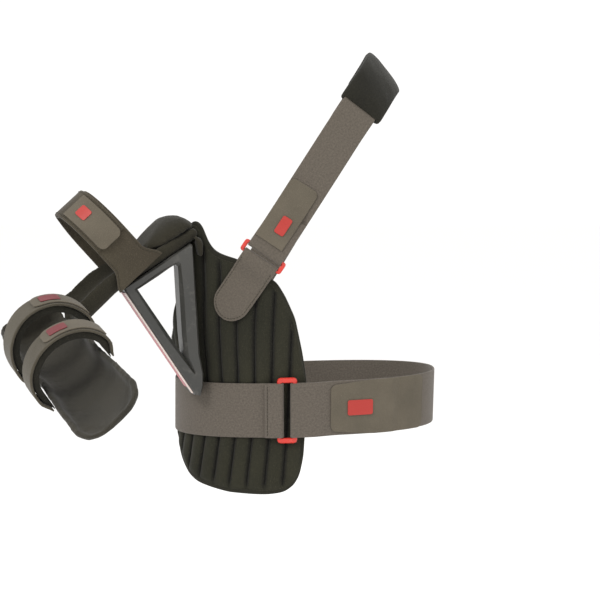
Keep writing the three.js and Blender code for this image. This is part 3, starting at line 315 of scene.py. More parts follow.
def layer_under(along):
    lap = along - 2 * HALF_GIRTH if along > HALF_GIRTH else along
    past_front = lap - PAD_FRONT - CHANNEL_LEAN * BELT_WIDTH
    past_rear = PAD_FRONT - PAD_SPAN - lap
    return PAD_THICKNESS * (1 - smooth((max(past_front, past_rear) - 1) / BELT_EASE))


def belt_inner(along):
    return layer_under(along) + BELT_CLEAR + WEB_THICKNESS / 2


BELT_RING_OFF = PAD_THICKNESS + BELT_CLEAR + WEB_THICKNESS + GAP + RING_THICKNESS / 2
BELT_OUTER = BELT_RING_OFF + RING_THICKNESS / 2 + GAP + WEB_THICKNESS / 2
BELT_BAR_ALONG = (BELT_RING_WIDTH - BELT_BAR) / 2


def belt_place(along, across, off):
    level = BELT_ROLL * on_trunk(along, 0, off)[0]
    low = on_trunk(along, level - BELT_WIDTH / 2, off)
    high = on_trunk(along, level + BELT_WIDTH / 2, off)
    return mix(low, high, across / BELT_WIDTH + 0.5)


def belt_fold_off(along):
    bar = RING_ALONG + BELT_BAR_ALONG
    return mix(BELT_OUTER, belt_inner(along) + WEB_THICKNESS + GAP, smooth((along - bar) / BELT_SETTLE))


def belt_fold_top(along):
    on_fold = belt_fold_off(along) + WEB_THICKNESS / 2
    on_belt = belt_inner(along) + WEB_THICKNESS / 2
    fold_end = RING_ALONG + BELT_BAR_ALONG + BELT_FOLD
    return mix(on_fold, on_belt, smooth((along - fold_end - TAB_LEAD) / TAB_STEP))


def bar_turn(bar_along, bar_width, bar_off, side):
    radius = RING_THICKNESS / 2 + GAP + WEB_THICKNESS / 2
    middle = bar_along + side * (bar_width - RING_THICKNESS) / 2
    turns = [step * math.pi / 10 for step in range(11)]
    return [(middle + side * radius * math.sin(a), bar_off - radius * math.cos(a)) for a in turns]


# The arm's upright plane: out from the trunk, forward, and up
PLANE_OUT = np.array((-math.cos(FRAME_YAW), -math.sin(FRAME_YAW), 0))
PLANE_FRONT = np.array((math.sin(FRAME_YAW), -math.cos(FRAME_YAW), 0))
PLANE_FOOT = np.array((FRAME_FOOT_OUT, FRAME_FOOT_FRONT, 0))
UP = np.array((0, 0, 1.0))


def arm_place(out, front, up):
    return PLANE_FOOT + PLANE_OUT * out + PLANE_FRONT * front + UP * up


def frame_up(share):
    return FRAME_FOOT_UP + share * FRAME_RISE


ARM_PAD_PATH = [
    (0.02, 1.039, 0.6), (0.133, 1.002, 0.6), (0.573, 0.857, 0.7), (0.98, 0.724, 0.92),
    (1.08, 0.683, 0.96), (1.42, 0.517, 1), (1.83, 0.305, 1),
]
ARM_MIDDLE = ARM_PAD_FRONT - ARM_PAD_WIDTH / 2
ARM_HALF = ARM_PAD_WIDTH / 2


def arm_pad_spot(index):
    out, up, _ = ARM_PAD_PATH[index]
    return np.array((out * FRAME_REACH, frame_up(up)))


def arm_pad_station(index):
    ahead = arm_pad_spot(min(len(ARM_PAD_PATH) - 1, index + 1))
    behind = arm_pad_spot(max(0, index - 1))
    along = (ahead - behind) / np.linalg.norm(ahead - behind)
    return arm_pad_spot(index), along, np.array((-along[1], along[0])), ARM_PAD_PATH[index][2] * ARM_PAD_RIM


# The forearm's frame: along from the near strap, across outwards, and up
FOREARM_INWARD = math.radians(22.2)
FOREARM_DROP = math.radians(12.6)
FOREARM_WAY = np.array((
    math.sin(FOREARM_INWARD) * math.cos(FOREARM_DROP),
    -math.cos(FOREARM_INWARD) * math.cos(FOREARM_DROP),
    -math.sin(FOREARM_DROP),
))
TROUGH_SECTIONS = [
    (0, 0.8, 0.82, 1, 28), (0.03, 0.93, 0.93, 1, 28), (0.1, 1, 1, 1, 28), (0.3, 0.98, 1, 1, 28),
    (0.44, 0.93, 0.97, 1, 29), (0.57, 0.89, 0.92, 1, 31), (0.75, 0.99, 0.8, 0, 35),
    (0.93, 1.02, 0.64, -1, 39), (0.98, 0.93, 0.58, -2, 39.5), (1, 0.74, 0.5, -3, 39.5),
]
elbow_spot = arm_pad_station(len(ARM_PAD_PATH) - 1)[0] + np.array((19, 35))
elbow = arm_place(elbow_spot[0], ARM_MIDDLE - 8.5, elbow_spot[1])
forearm_origin = elbow + FOREARM_WAY * 78


def trough_size(share):
    _, width, depth, rim, _ = read_table(TROUGH_SECTIONS, share)
    return width * TROUGH_WIDTH / 2, depth * TROUGH_DEPTH, rim * TROUGH_RIM


def forearm_place(along, across, up):
    share = (along + ELBOW_LENGTH) / FOREARM_LENGTH
    roll = math.radians(read_table(TROUGH_SECTIONS, share)[4])
    side = np.array((-math.cos(roll), 0, -math.sin(roll)))
    side -= FOREARM_WAY * side.dot(FOREARM_WAY)
    side /= np.linalg.norm(side)
    return forearm_origin + FOREARM_WAY * along + side * across + np.cross(side, FOREARM_WAY) * up


# Loops of strap, read by the length from their front foot
def loop_route(half, spring_up, crown, front_foot, rear_foot):
    points = [(half, up) for up in spread(front_foot, spring_up, 6)]
    arc = [step * math.pi / 20 for step in range(1, 20)]
    points += [(half * math.cos(a), spring_up + crown * math.sin(a)) for a in arc]
    points += [(-half, up) for up in spread(spring_up, rear_foot, 6)]
    points = np.array(points)
    lengths = np.concatenate(([0], np.cumsum(np.linalg.norm(np.diff(points, axis=0), axis=1))))
    return points, lengths


def on_loop(loop, run, off):
    points, lengths = loop

    def read(place):
        reach = min(lengths[-1] - 0.001, max(0.0, place))
        return np.array([np.interp(reach, lengths, points[:, axis]) for axis in range(2)])

    along = read(run + 3) - read(run - 3)
    along /= np.linalg.norm(along)
    return read(run) + np.array((along[1], -along[0])) * off


ARM_WAY = np.array((math.cos(ARM_SLOPE), -math.sin(ARM_SLOPE)))
ARM_RISE = np.array((math.sin(ARM_SLOPE), math.cos(ARM_SLOPE)))
ARM_LOOP_FOOT = np.array((0.84 * FRAME_REACH, frame_up(0.826)))
arm_loop = loop_route(ARM_HALF + GAP, 52, ARM_LOOP_UP - 52, -5, -5)
ARM_LOOP_LENGTH = arm_loop[1][-1]


def arm_loop_place(run, across, off):
    front, rise = on_loop(arm_loop, run, off)
    side = ARM_LOOP_FOOT + ARM_WAY * across + ARM_RISE * rise
    return arm_place(side[0], ARM_MIDDLE + front, side[1])


# The solids' origin is the underside of the shoulder pad at its crest
origin = strap_place(CREST_RUN, 0, SKIN_GAP)


def metres(place):
    return tuple((place - origin) / 1000)


# Small even unevenness of sewn cloth, the same in every run
def ripple(along, across, length, seed):
    a = math.sin(along / length * 2.1 + seed) * math.sin(across / length * 1.7 + seed * 2.3)
    b = math.sin(along / length * 4.3 + across / length * 3.1 + seed * 5.1)
    return 0.6 * a + 0.4 * b


# Shader effects that several finishes share
def new_group(name, inputs, outputs):
    group = bpy.data.node_groups.new(name, "ShaderNodeTree")
    for label, kind, value in inputs:
        socket = group.interface.new_socket(label, in_out="INPUT", socket_type=kind)
        if value is not None:
            socket.default_value = value
    for label, kind in outputs:
        group.interface.new_socket(label, in_out="OUTPUT", socket_type=kind)
    start = group.nodes.new("NodeGroupInput")
    end = group.nodes.new("NodeGroupOutput")
    return group, start, end


def calc(tree, operation, first, second=None, third=None):
    node = tree.nodes.new("ShaderNodeMath")
    node.operation = operation
    for socket, value in zip(node.inputs, (first, second, third)):
        if value is None:
            continue
        if isinstance(value, (int, float)):
            socket.default_value = value
        else:
            tree.links.new(value, socket)
    return node.outputs[0]


def noise(tree, vector, scale, detail=3, roughness=0.55):
    node = tree.nodes.new("ShaderNodeTexNoise")
    node.inputs["Detail"].default_value = detail
    node.inputs["Roughness"].default_value = roughness
    tree.links.new(vector, node.inputs["Vector"])
    if isinstance(scale, (int, float)):
        node.inputs["Scale"].default_value = scale
    else:
        tree.links.new(scale, node.inputs["Scale"])
    return node.outputs["Fac"]


def make_nap():
    """Brushed cloth: a fine nap for the bump, flecks of lint and slow clouds of colour."""
    group, start, end = new_group(
        "brushed_nap",
        [("Place", "NodeSocketVector", None), ("Fibres", "NodeSocketFloat", 900.0),
         ("Clouds", "NodeSocketFloat", 14.0)],
        [("Height", "NodeSocketFloat"), ("Fleck", "NodeSocketFloat"), ("Cloud", "NodeSocketFloat")],
    )
    place = start.outputs["Place"]
    fine = noise(group, place, start.outputs["Fibres"], 4, 0.7)
    coarse = noise(group, place, calc(group, "MULTIPLY", start.outputs["Fibres"], 0.28), 3, 0.6)
    height = calc(group, "MULTIPLY_ADD", coarse, 0.5, calc(group, "MULTIPLY", fine, 0.5))
    raised = calc(group, "MAXIMUM", calc(group, "SUBTRACT", fine, 0.56), 0.0)
    fleck = calc(group, "SMOOTH_MIN", raised, 0.1, 0.05)
    group.links.new(height, end.inputs["Height"])
    group.links.new(calc(group, "MULTIPLY", fleck, 8.0), end.inputs["Fleck"])
    group.links.new(noise(group, place, start.outputs["Clouds"], 3, 0.5), end.inputs["Cloud"])
    return group


def make_weave():
    """Woven webbing on the strap's own coordinates: ribs across it and picks along it."""
    group, start, end = new_group(
        "webbing_weave",
        [("Place", "NodeSocketVector", None), ("Ribs", "NodeSocketFloat", 620.0),
         ("Picks", "NodeSocketFloat", 900.0)],
        [("Height", "NodeSocketFloat"), ("Shade", "NodeSocketFloat")],
    )
    split = group.nodes.new("ShaderNodeSeparateXYZ")
    group.links.new(start.outputs["Place"], split.inputs[0])
    rib = calc(group, "MULTIPLY", split.outputs["X"], start.outputs["Ribs"])
    pick = calc(group, "MULTIPLY", split.outputs["Y"], start.outputs["Picks"])
    rib_wave = calc(group, "SINE", calc(group, "MULTIPLY", rib, math.tau))
    pick_wave = calc(group, "SINE", calc(group, "MULTIPLY", pick, math.tau))
    woven = calc(group, "MULTIPLY_ADD", calc(group, "MULTIPLY", rib_wave, pick_wave), 0.3, 0.5)
    uneven = noise(group, start.outputs["Place"], 260.0, 4, 0.7)
    height = calc(group, "MULTIPLY_ADD", uneven, 0.4, calc(group, "MULTIPLY", woven, 0.7))
    group.links.new(height, end.inputs["Height"])
    shade = noise(group, start.outputs["Place"], 420.0, 5, 0.75)
    group.links.new(shade, end.inputs["Shade"])
    return group


def make_mould():
    """Moulded plastic: a fine spark texture, faint flow marks and scuffs."""
    group, start, end = new_group(
        "moulded_grain",
        [("Place", "NodeSocketVector", None), ("Grain", "NodeSocketFloat", 1400.0)],
        [("Height", "NodeSocketFloat"), ("Scuff", "NodeSocketFloat"), ("Flow", "NodeSocketFloat")],
    )
    place = start.outputs["Place"]
    group.links.new(noise(group, place, start.outputs["Grain"], 2, 0.5), end.inputs["Height"])
    scuffs = calc(group, "SUBTRACT", noise(group, place, 70.0, 8, 0.75), 0.56)
    group.links.new(calc(group, "MULTIPLY", calc(group, "MAXIMUM", scuffs, 0.0), 5.0), end.inputs["Scuff"])
    group.links.new(noise(group, place, 9.0, 2, 0.5), end.inputs["Flow"])
    return group


nap = make_nap()
weave = make_weave()
mould = make_mould()


def start_material(name, source, centre=(0, 0, 0)):
    """A new finish, with its pattern read from the piece's object or strap coordinates."""
    material = bpy.data.materials.new(name)
    material.use_nodes = True
    tree = material.node_tree
    shader = tree.nodes["Principled BSDF"]
    place = tree.nodes.new("ShaderNodeMapping")
    place.inputs["Location"].default_value = centre
    if source == "Object":
        coordinates = tree.nodes.new("ShaderNodeTexCoord")
        tree.links.new(coordinates.outputs["Object"], place.inputs["Vector"])
    else:
        strap = tree.nodes.new("ShaderNodeUVMap")
        strap.uv_map = "UVMap"
        tree.links.new(strap.outputs["UV"], place.inputs["Vector"])
    return material, tree, shader, place.outputs["Vector"]


def use_group(tree, group, place, **values):
    node = tree.nodes.new("ShaderNodeGroup")
    node.node_tree = group
    tree.links.new(place, node.inputs["Place"])
    for label, value in values.items():
        node.inputs[label].default_value = value
    return node


def blend_colours(tree, share, first, second):
    node = tree.nodes.new("ShaderNodeMix")
    node.data_type = "RGBA"
    for socket, value in ((node.inputs[0], share), (node.inputs[6], first), (node.inputs[7], second)):
        if isinstance(value, (tuple, float)):
            socket.default_value = value
        else:
            tree.links.new(value, socket)
    return node.outputs[2]


def stretch(tree, value, low, high, to_low, to_high):
    node = tree.nodes.new("ShaderNodeMapRange")
    for socket, number in zip(node.inputs[1:5], (low, high, to_low, to_high)):
        socket.default_value = number
    tree.links.new(value, node.inputs[0])
    return node.outputs[0]


def bump(tree, height, shader, distance, strength=1.0):
    node = tree.nodes.new("ShaderNodeBump")
    node.inputs["Distance"].default_value = distance
    node.inputs["Strength"].default_value = strength
    tree.links.new(height, node.inputs["Height"])
    tree.links.new(node.outputs["Normal"], shader.inputs["Normal"])


def linear(red, green, blue):
    def one(value):
        share = value / 255
        return share / 12.92 if share <= 0.04045 else ((share + 0.055) / 1.055) ** 2.4

    return (one(red), one(green), one(blue), 1.0)


def cloth_finish(name, dark, light, lint, sheen, fibres=900.0, clouds=14.0, relief=0.0006, painted_groove_shade=None):
    """Cloth, its nap and lint; the optional groove colour is painted shade, mixed in down in the sewn grooves
    by the share that a mesh attribute gives.
    """
    material, tree, shader, place = start_material(name, "Object")
    grain = use_group(tree, nap, place, Fibres=fibres, Clouds=clouds)
    base = blend_colours(tree, stretch(tree, grain.outputs["Cloud"], 0.3, 0.7, 0.0, 1.0), dark, light)
    # Painted shade: the groove attribute's share darkens the colour down in the pad's sewn grooves
    if painted_groove_shade:
        groove_shade_node = tree.nodes.new("ShaderNodeAttribute")
        groove_shade_node.attribute_name = "painted_groove_shade"
        base = blend_colours(tree, groove_shade_node.outputs["Fac"], base, painted_groove_shade)
    tree.links.new(blend_colours(tree, grain.outputs["Fleck"], base, lint), shader.inputs["Base Color"])
    tree.links.new(stretch(tree, grain.outputs["Height"], 0.3, 0.7, 0.98, 0.82), shader.inputs["Roughness"])
    shader.inputs["Sheen Weight"].default_value = sheen
    shader.inputs["Sheen Roughness"].default_value = 0.45
    shader.inputs["Specular IOR Level"].default_value = 0.25
    bump(tree, grain.outputs["Height"], shader, relief)
    return material


def webbing_finish(name, dark, light, ribs, picks, relief=0.0005):
    material, tree, shader, place = start_material(name, "UV")
    woven = use_group(tree, weave, place, Ribs=ribs, Picks=picks)
    base = blend_colours(tree, stretch(tree, woven.outputs["Shade"], 0.3, 0.7, 0.0, 1.0), dark, light)
    tree.links.new(base, shader.inputs["Base Color"])
    tree.links.new(stretch(tree, woven.outputs["Height"], 0.2, 0.8, 0.92, 0.74), shader.inputs["Roughness"])
    shader.inputs["Sheen Weight"].default_value = 0.12
    shader.inputs["Specular IOR Level"].default_value = 0.3
    bump(tree, woven.outputs["Height"], shader, relief)
    return material


def plastic_finish(name, dark, light, scuffed, low_gloss, high_gloss, grain=1400.0, relief=0.00012):
    material, tree, shader, place = start_material(name, "Object")
    moulded = use_group(tree, mould, place, Grain=grain)
    base = blend_colours(tree, stretch(tree, moulded.outputs["Flow"], 0.3, 0.7, 0.0, 1.0), dark, light)
    tree.links.new(blend_colours(tree, moulded.outputs["Scuff"], base, scuffed), shader.inputs["Base Color"])
    rough = stretch(tree, moulded.outputs["Scuff"], 0.0, 0.6, low_gloss, high_gloss)
    tree.links.new(rough, shader.inputs["Roughness"])
    bump(tree, moulded.outputs["Height"], shader, relief)
    return material


# The pad's finish paints shade into its sewn grooves: a near-black colour mixed in by each point's groove
# share
pad_cloth = cloth_finish(
    "pad_neoprene", linear(30, 30, 21), linear(41, 40, 29), linear(66, 62, 49), 0.07, 1100.0, 12.0, 0.0006,
    painted_groove_shade=linear(11, 11, 8))
pad_tape = cloth_finish(
    "pad_edge_tape", linear(26, 26, 19), linear(36, 35, 26), linear(60, 56, 45), 0.06, 1500.0, 20.0, 0.0004)
roll_cloth = cloth_finish(
    "armpit_pad_neoprene", linear(33, 31, 23), linear(43, 40, 30), linear(66, 62, 49), 0.06, 1100.0, 12.0,
    0.0006)
strap_sleeve_cloth = cloth_finish(
    "shoulder_sleeve_neoprene", linear(23, 22, 16), linear(32, 31, 23), linear(54, 51, 40), 0.05,
    1100.0, 12.0)
dark_pile = cloth_finish(
    "liner_pile", linear(28, 27, 21), linear(38, 36, 29), linear(62, 59, 49), 0.1, 800.0, 24.0, 0.0009)
arm_cloth = cloth_finish(
    "arm_strap_neoprene", linear(57, 51, 41), linear(68, 62, 50), linear(92, 85, 70), 0.1, 1100.0, 16.0)
sleeve_cloth = cloth_finish(
    "trough_cloth", linear(42, 40, 34), linear(54, 51, 43), linear(78, 74, 64), 0.1, 1000.0, 16.0)
forearm_cloth = cloth_finish(
    "forearm_strap_cloth", linear(68, 63, 53), linear(78, 73, 62), linear(102, 95, 82), 0.1, 1000.0, 18.0)
tab_cloth = cloth_finish(
    "grip_tab_cloth", linear(84, 78, 67), linear(94, 87, 75), linear(116, 109, 95), 0.08, 1600.0, 22.0,
    0.0003)
belt_webbing = webbing_finish("belt_webbing", linear(72, 66, 58), linear(102, 94, 85), 560.0, 800.0)
strap_webbing = webbing_finish("strap_webbing", linear(74, 68, 60), linear(100, 92, 82), 640.0, 900.0)
thread = cloth_finish(
    "sewing_thread", linear(42, 40, 31), linear(54, 51, 40), linear(74, 70, 58), 0.1, 2500.0)
red_print = plastic_finish(
    "red_patch_print", linear(158, 36, 27), linear(168, 42, 33), linear(156, 51, 41), 0.5, 0.65)
dark_red_print = plastic_finish(
    "forearm_patch_print", linear(98, 22, 28), linear(107, 27, 33), linear(107, 42, 42), 0.5, 0.65)
ring_plastic = plastic_finish(
    "red_ring_plastic", linear(190, 46, 36), linear(200, 56, 44), linear(198, 78, 64), 0.25, 0.4)
frame_plastic = plastic_finish(
    "frame_plastic", linear(48, 48, 45), linear(58, 57, 53), linear(84, 82, 77), 0.38, 0.55, 900.0, 0.0002)
white_inlay = plastic_finish(
    "white_inlay", linear(206, 190, 182), linear(216, 202, 194), linear(196, 180, 172), 0.4, 0.55)
red_inlay = plastic_finish(
    "red_inlay", linear(158, 60, 66), linear(168, 68, 74), linear(150, 74, 76), 0.4, 0.55)


# Making the pieces
def only(piece):
    bpy.ops.object.select_all(action="DESELECT")
    piece.select_set(True)
    bpy.context.view_layer.objects.active = piece


def finish(piece, material, slot, *nodes, angle=40):
    only(piece)
    bpy.ops.object.shade_smooth_by_angle(angle=math.radians(angle))
    if not piece.data.materials:
        piece.data.materials.append(material)
    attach(piece, "root")
    if nodes:
        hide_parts(*nodes)
    piece.select_set(False)
    return piece


def apply(piece, kind, **settings):
    only(piece)
    modifier = piece.modifiers.new(kind.title(), kind)
    for label, value in settings.items():
        setattr(modifier, label, value)
    bpy.ops.object.modifier_apply(modifier=modifier.name)


def shell(name, stations, places, point, mark, tube=False, painted_groove_shade=None):
    """A grid laid on the brace and drawn out to a second face. point gives the place of a grid point on
    its inner and outer face, and mark its place along and across the cloth, all in millimetres."""
    bpy.ops.object.select_all(action="DESELECT")
    bpy.ops.mesh.primitive_grid_add(x_subdivisions=stations - 1, y_subdivisions=places - 1, size=2)
    piece = bpy.context.object
    piece.name = piece.data.name = name
    mesh = piece.data
    flat = [(round((v.co.x + 1) / 2 * (stations - 1)), round((v.co.y + 1) / 2 * (places - 1)))
            for v in mesh.vertices]
    for label, index in (("station", 0), ("across", 1)):
        attribute = mesh.attributes.new(label, "INT", "POINT")
        attribute.data.foreach_set("value", [pair[index] for pair in flat])
    cloth = mesh.uv_layers.active
    cloth.name = "UVMap"
    for corner in mesh.loops:
        along, across = mark(*flat[corner.vertex_index])
        cloth.data[corner.index].uv = (along / 1000, across / 1000)
    for vertex, pair in zip(mesh.vertices, flat):
        vertex.co = metres(point(*pair, 0))
    bpy.ops.object.mode_set(mode="EDIT")
    bpy.ops.mesh.select_all(action="SELECT")
    if tube:
        bpy.ops.mesh.remove_doubles(threshold=1e-6)
    bpy.ops.mesh.extrude_region_move(TRANSFORM_OT_translate={"value": (0, 0, 0.001)})
    bpy.ops.object.mode_set(mode="OBJECT")
    station = np.zeros(len(mesh.vertices), np.int32)
    across = np.zeros(len(mesh.vertices), np.int32)
    mesh.attributes["station"].data.foreach_get("value", station)
    mesh.attributes["across"].data.foreach_get("value", across)
    for vertex, row, column in zip(mesh.vertices, station.tolist(), across.tolist()):
        vertex.co = metres(point(row, column, 1 if vertex.select else 0))
    # The optional groove function gives each point its share of painted shade, kept as a mesh attribute that
    # the finish reads
    if painted_groove_shade:
        depth = mesh.attributes.new("painted_groove_shade", "FLOAT", "POINT")
        depth.data.foreach_set("value", [painted_groove_shade(*pair) for pair in zip(station.tolist(), across.tolist())])
    for label in ("station", "across"):
        mesh.attributes.remove(mesh.attributes[label])
    bpy.ops.object.mode_set(mode="EDIT")
    bpy.ops.mesh.select_all(action="SELECT")
    bpy.ops.mesh.normals_make_consistent(inside=False)
    bpy.ops.object.mode_set(mode="OBJECT")
    return piece


EDGE_SHARES = (-1, -0.985, -0.95, -0.88, -0.72, -0.48, -0.24, 0, 0.24, 0.48, 0.72, 0.88, 0.95, 0.985, 1)


def laid_strap(name, path, half, thickness, place, wave=0.0, foot=None):
    """A flat strap with rolled edges. path lists where it runs along and off the surface, and may give
    its half width there. foot gives the share of its thickness at each place along, for a thinned end."""
    path = [(row[0], row[1], row[2] if len(row) > 2 else half) for row in path]
    runs = [0.0]
    for before, after in zip(path, path[1:]):
        runs.append(runs[-1] + math.hypot(after[0] - before[0], after[1] - before[1]))
    last = len(path) - 1

    def point(row, column, layer):
        along, off, width = path[row]
        ahead, behind = path[min(last, row + 1)], path[max(0, row - 1)]
        way = np.array((ahead[0] - behind[0], ahead[1] - behind[1]))
        way /= np.linalg.norm(way)
        share = EDGE_SHARES[column]
        rolled = {1: 0.35, 0.985: 0.8}.get(abs(share), 1.0)
        if row in (0, last):
            rolled = min(rolled, 0.5)
        height = (1 if layer else -1) * thickness / 2 * rolled * (foot(along) if foot else 1)
        lift = wave * ripple(runs[row], share * width, 26, len(name)) * (1 - abs(share) * 0.4)
        across = share * width
        return place(along - way[1] * height, across, off + way[0] * height + lift)

    def mark(row, column):
        return runs[row], EDGE_SHARES[column] * path[row][2]

    return shell(name, len(path), len(EDGE_SHARES), point, mark)


def rounded(half, radius, from_end):
    if from_end >= radius:
        return half
    return half - radius + math.sqrt(max(0.01, radius**2 - (radius - from_end) ** 2))


TAB_CORNER = 8
END_SHARES = (0, 0.04, 0.11, 0.25, 0.45, 0.7, 1)


def tab_path(low, high, half, off, round_start=True, round_end=True, corner=TAB_CORNER):
    """Where a tab or patch runs, close together at its ends; each end is rounded or square."""
    insets = [share * corner for share in END_SHARES]
    places = [low + inset for inset in insets] + spread(low + corner * 1.5, high - corner * 1.5, 4)
    places += [high - inset for inset in reversed(insets)]
    rows = []
    for along in places:
        from_end = min(along - low if round_start else corner, high - along if round_end else corner)
        width = half(along) if callable(half) else half
        rows.append((along, off(along), rounded(width, corner, from_end)))
    return rows


def thread_line(name, points, radius=0.36, slot="neoprene", sides=2):
    """A sewn line: a thread that comes up out of the cloth and goes down again at every stitch."""
    curve = bpy.data.curves.new(name, "CURVE")
    curve.dimensions = "3D"
    curve.bevel_depth = radius / 1000
    curve.bevel_resolution = sides
    curve.use_fill_caps = True
    line = curve.splines.new("POLY")
    line.points.add(len(points) - 1)
    for spot, place in zip(line.points, points):
        spot.co = (*metres(place), 1)
    piece = bpy.data.objects.new(name, curve)
    bpy.context.scene.collection.objects.link(piece)
    only(piece)
    bpy.ops.object.convert(target="MESH")
    return finish(bpy.context.object, thread, slot)


def stitched(place, ends, off, pitch=4.2):
    """Points of a running stitch between the given places along and across a surface."""
    points = []
    distance = 0.0
    for (a0, c0), (a1, c1) in zip(ends, ends[1:]):
        length = math.hypot(a1 - a0, c1 - c0)
        count = max(1, round(length / 0.7))
        for index in range(count):
            share = index / count
            run = distance + share * length
            beat = math.sin(run / pitch * math.tau)
            along, across = mix(a0, a1, share), mix(c0, c1, share)
            rise = 0.32 if beat > -0.35 else -0.5
            lift = off(along, across) if callable(off) else off
            points.append(place(along, across, lift + rise))
        distance += length
    return points


# Trunk pad: padded channels between sewn grooves, and a tape round its edge
PAD_OUTLINE = [
    (0, 0.55, 0.107), (0.008, 0.76, 0.179), (0.022, 0.88, 0.298), (0.05, 0.965, 0.487),
    (0.083, 0.99, 0.603), (0.111, 1, 0.679), (0.146, 1, 0.715), (0.223, 0.99, 0.795),
    (0.272, 0.96, 0.82), (0.298, 0.942, 0.84), (0.312, 0.932, 0.865), (0.325, 0.921, 0.902),
    (0.34, 0.91, 0.963), (0.355, 0.887, 0.996), (0.37, 0.863, 1), (0.39, 0.827, 0.951),
    (0.415, 0.76, 0.82), (0.45, 0.67, 0.615), (0.51, 0.52, 0.394), (0.6, 0.47, 0.384),
    (0.93, 0.46, 0.384), (0.98, 0.42, 0.34), (1, 0.34, 0.25),
]
CHANNEL_STEPS = (0, 0.04, 0.1, 0.2, 0.35, 0.5, 0.65, 0.8, 0.9, 0.96)
GROOVE = 5.4


def pad_edges(share):
    _, low, high = read_table(PAD_OUTLINE, share)
    return -low * PAD_DROP, high * PAD_RISE


pad_shares = [(channel + step) / CHANNELS for channel in range(CHANNELS) for step in CHANNEL_STEPS] + [1.0]
PAD_ROWS = sorted({0, 0.012, 0.03, 0.05, 0.08, *(0.08 + 0.84 * i / 34 for i in range(35)), 0.92, 0.95, 0.97,
                   0.988, 1})

seam_top = along_at(-139, 216)
seam_foot = along_at(-130, 49)
crease_near = along_at(-76.7, 124.8)
crease_far = along_at(-48.1, 107.9)


def groove_at(distance, width):
    return math.exp(-((distance / width) ** 2))


def pad_top(along, up, share):
    """How far the pad's outer face stands off the trunk."""
    low, high = pad_edges(share)
    edge = min(up - low, high - up, share * PAD_SPAN + 1.5, (1 - share) * PAD_SPAN + 1.5)
    full = PAD_EDGE + (PAD_THICKNESS - PAD_EDGE + 0.5) * smooth(edge / 13)
    channel = (share * CHANNELS) % 1
    arch = math.sin(math.pi * channel) ** 0.42 if 0 < channel < 1 else 0.0
    sink = GROOVE * (1 - arch) * smooth((edge - 5) / 9)
    if share * CHANNELS < 0.5:
        sink *= smooth(share * CHANNELS / 0.5)
    pucker = 0.32 * math.sin(up / 3.1 + math.sin(up / 17) * 2) * (1 - arch) * smooth((edge - 8) / 10)
    seam = mix(seam_foot, seam_top, (up - 49) / 167)
    sink += 1.6 * groove_at(along - seam, 2.2) * smooth((up - 40) / 15)
    reach = clamp((along - crease_near) / (crease_far - crease_near))
    crease_up = mix(124.8, 107.9, reach)
    crease_gap = math.hypot(up - crease_up, min(0, along - crease_near) + max(0, along - crease_far))
    sink += 1.1 * groove_at(crease_gap, 2.0)
    return max(2.6, full - sink + pucker + 0.35 * ripple(along, up, 22, 3))


def pad_spot(row, column):
    share = pad_shares[row]
    low, high = pad_edges(share)
    up = mix(low, high, PAD_ROWS[column])
    return share, PAD_FRONT - share * PAD_SPAN + CHANNEL_LEAN * up, up


def pad_point(row, column, layer):
    share, along, up = pad_spot(row, column)
    if not layer:
        return on_trunk(along, up, SKIN_GAP)
    border = row in (0, len(pad_shares) - 1) or column in (0, len(PAD_ROWS) - 1)
    return on_trunk(along, up, PAD_EDGE * 0.72 if border else pad_top(along, up, share))


def pad_mark(row, column):
    _, along, up = pad_spot(row, column)
    return up, along


def pad_groove_shade_share(row, column):
    """How deep a place lies between two channels, from 0 on their crowns to 1 in the stitched groove; this
    share sets how much painted shade darkens the pad's colour there.
    """
    share, _, up = pad_spot(row, column)
    low, high = pad_edges(share)
    channel = (share * CHANNELS) % 1
    beside = min(channel, 1 - channel)
    return (1 - smooth(beside / 0.24)) * smooth((min(up - low, high - up) - 4) / 9)


trunk_pad = shell(
    "trunk_pad_channels", len(pad_shares), len(PAD_ROWS), pad_point, pad_mark, painted_groove_shade=pad_groove_shade_share)
apply(trunk_pad, "SUBSURF", levels=1, render_levels=1)
finish(trunk_pad, pad_cloth, "neoprene", "trunk_pad")

# The tape follows the pad's outline at an even width
outline = []
for share in spread(0, 1, 0.004):
    outline.append((share, 1))
for level in spread(1, 0, 0.05)[1:-1]:
    outline.append((1, level))
for share in spread(1, 0, 0.004):
    outline.append((share, 0))
for level in spread(0, 1, 0.05)[1:-1]:
    outline.append((0, level))
rim = []
for share, level in outline:
    low, high = pad_edges(share)
    up = mix(low, high, level)
    rim.append((PAD_FRONT - share * PAD_SPAN + CHANNEL_LEAN * up, up))
rim = np.array(rim)
lengths = np.concatenate(([0], np.cumsum(np.linalg.norm(np.diff(np.vstack((rim, rim[:1])), axis=0), axis=1))))
closed = np.vstack((rim, rim[:1]))
TAPE_STEP = 3.2
tape_count = int(lengths[-1] / TAPE_STEP)
tape_line = np.array([[np.interp(i / tape_count * lengths[-1], lengths, closed[:, axis]) for axis in range(2)]
                      for i in range(tape_count)])
for _ in range(3):
    tape_line = (np.roll(tape_line, 1, 0) + 2 * tape_line + np.roll(tape_line, -1, 0)) / 4
tape_way = np.roll(tape_line, -2, 0) - np.roll(tape_line, 2, 0)
tape_way /= np.linalg.norm(tape_way, axis=1)[:, None]
tape_in = np.column_stack((-tape_way[:, 1], tape_way[:, 0]))
middle_of_pad = tape_line.mean(0)
if ((middle_of_pad - tape_line) * tape_in).sum() < 0:
    tape_in = -tape_in

# The tape's section: how far in from the edge, and how far off the trunk
TAPE_SECTION = [
    (6.4, 6.3), (3.5, 6.1), (1.0, 5.6), (-0.6, 4.4), (-0.9, 2.8), (-0.4, 1.2), (1.4, 0.7), (4, 0.7),
]


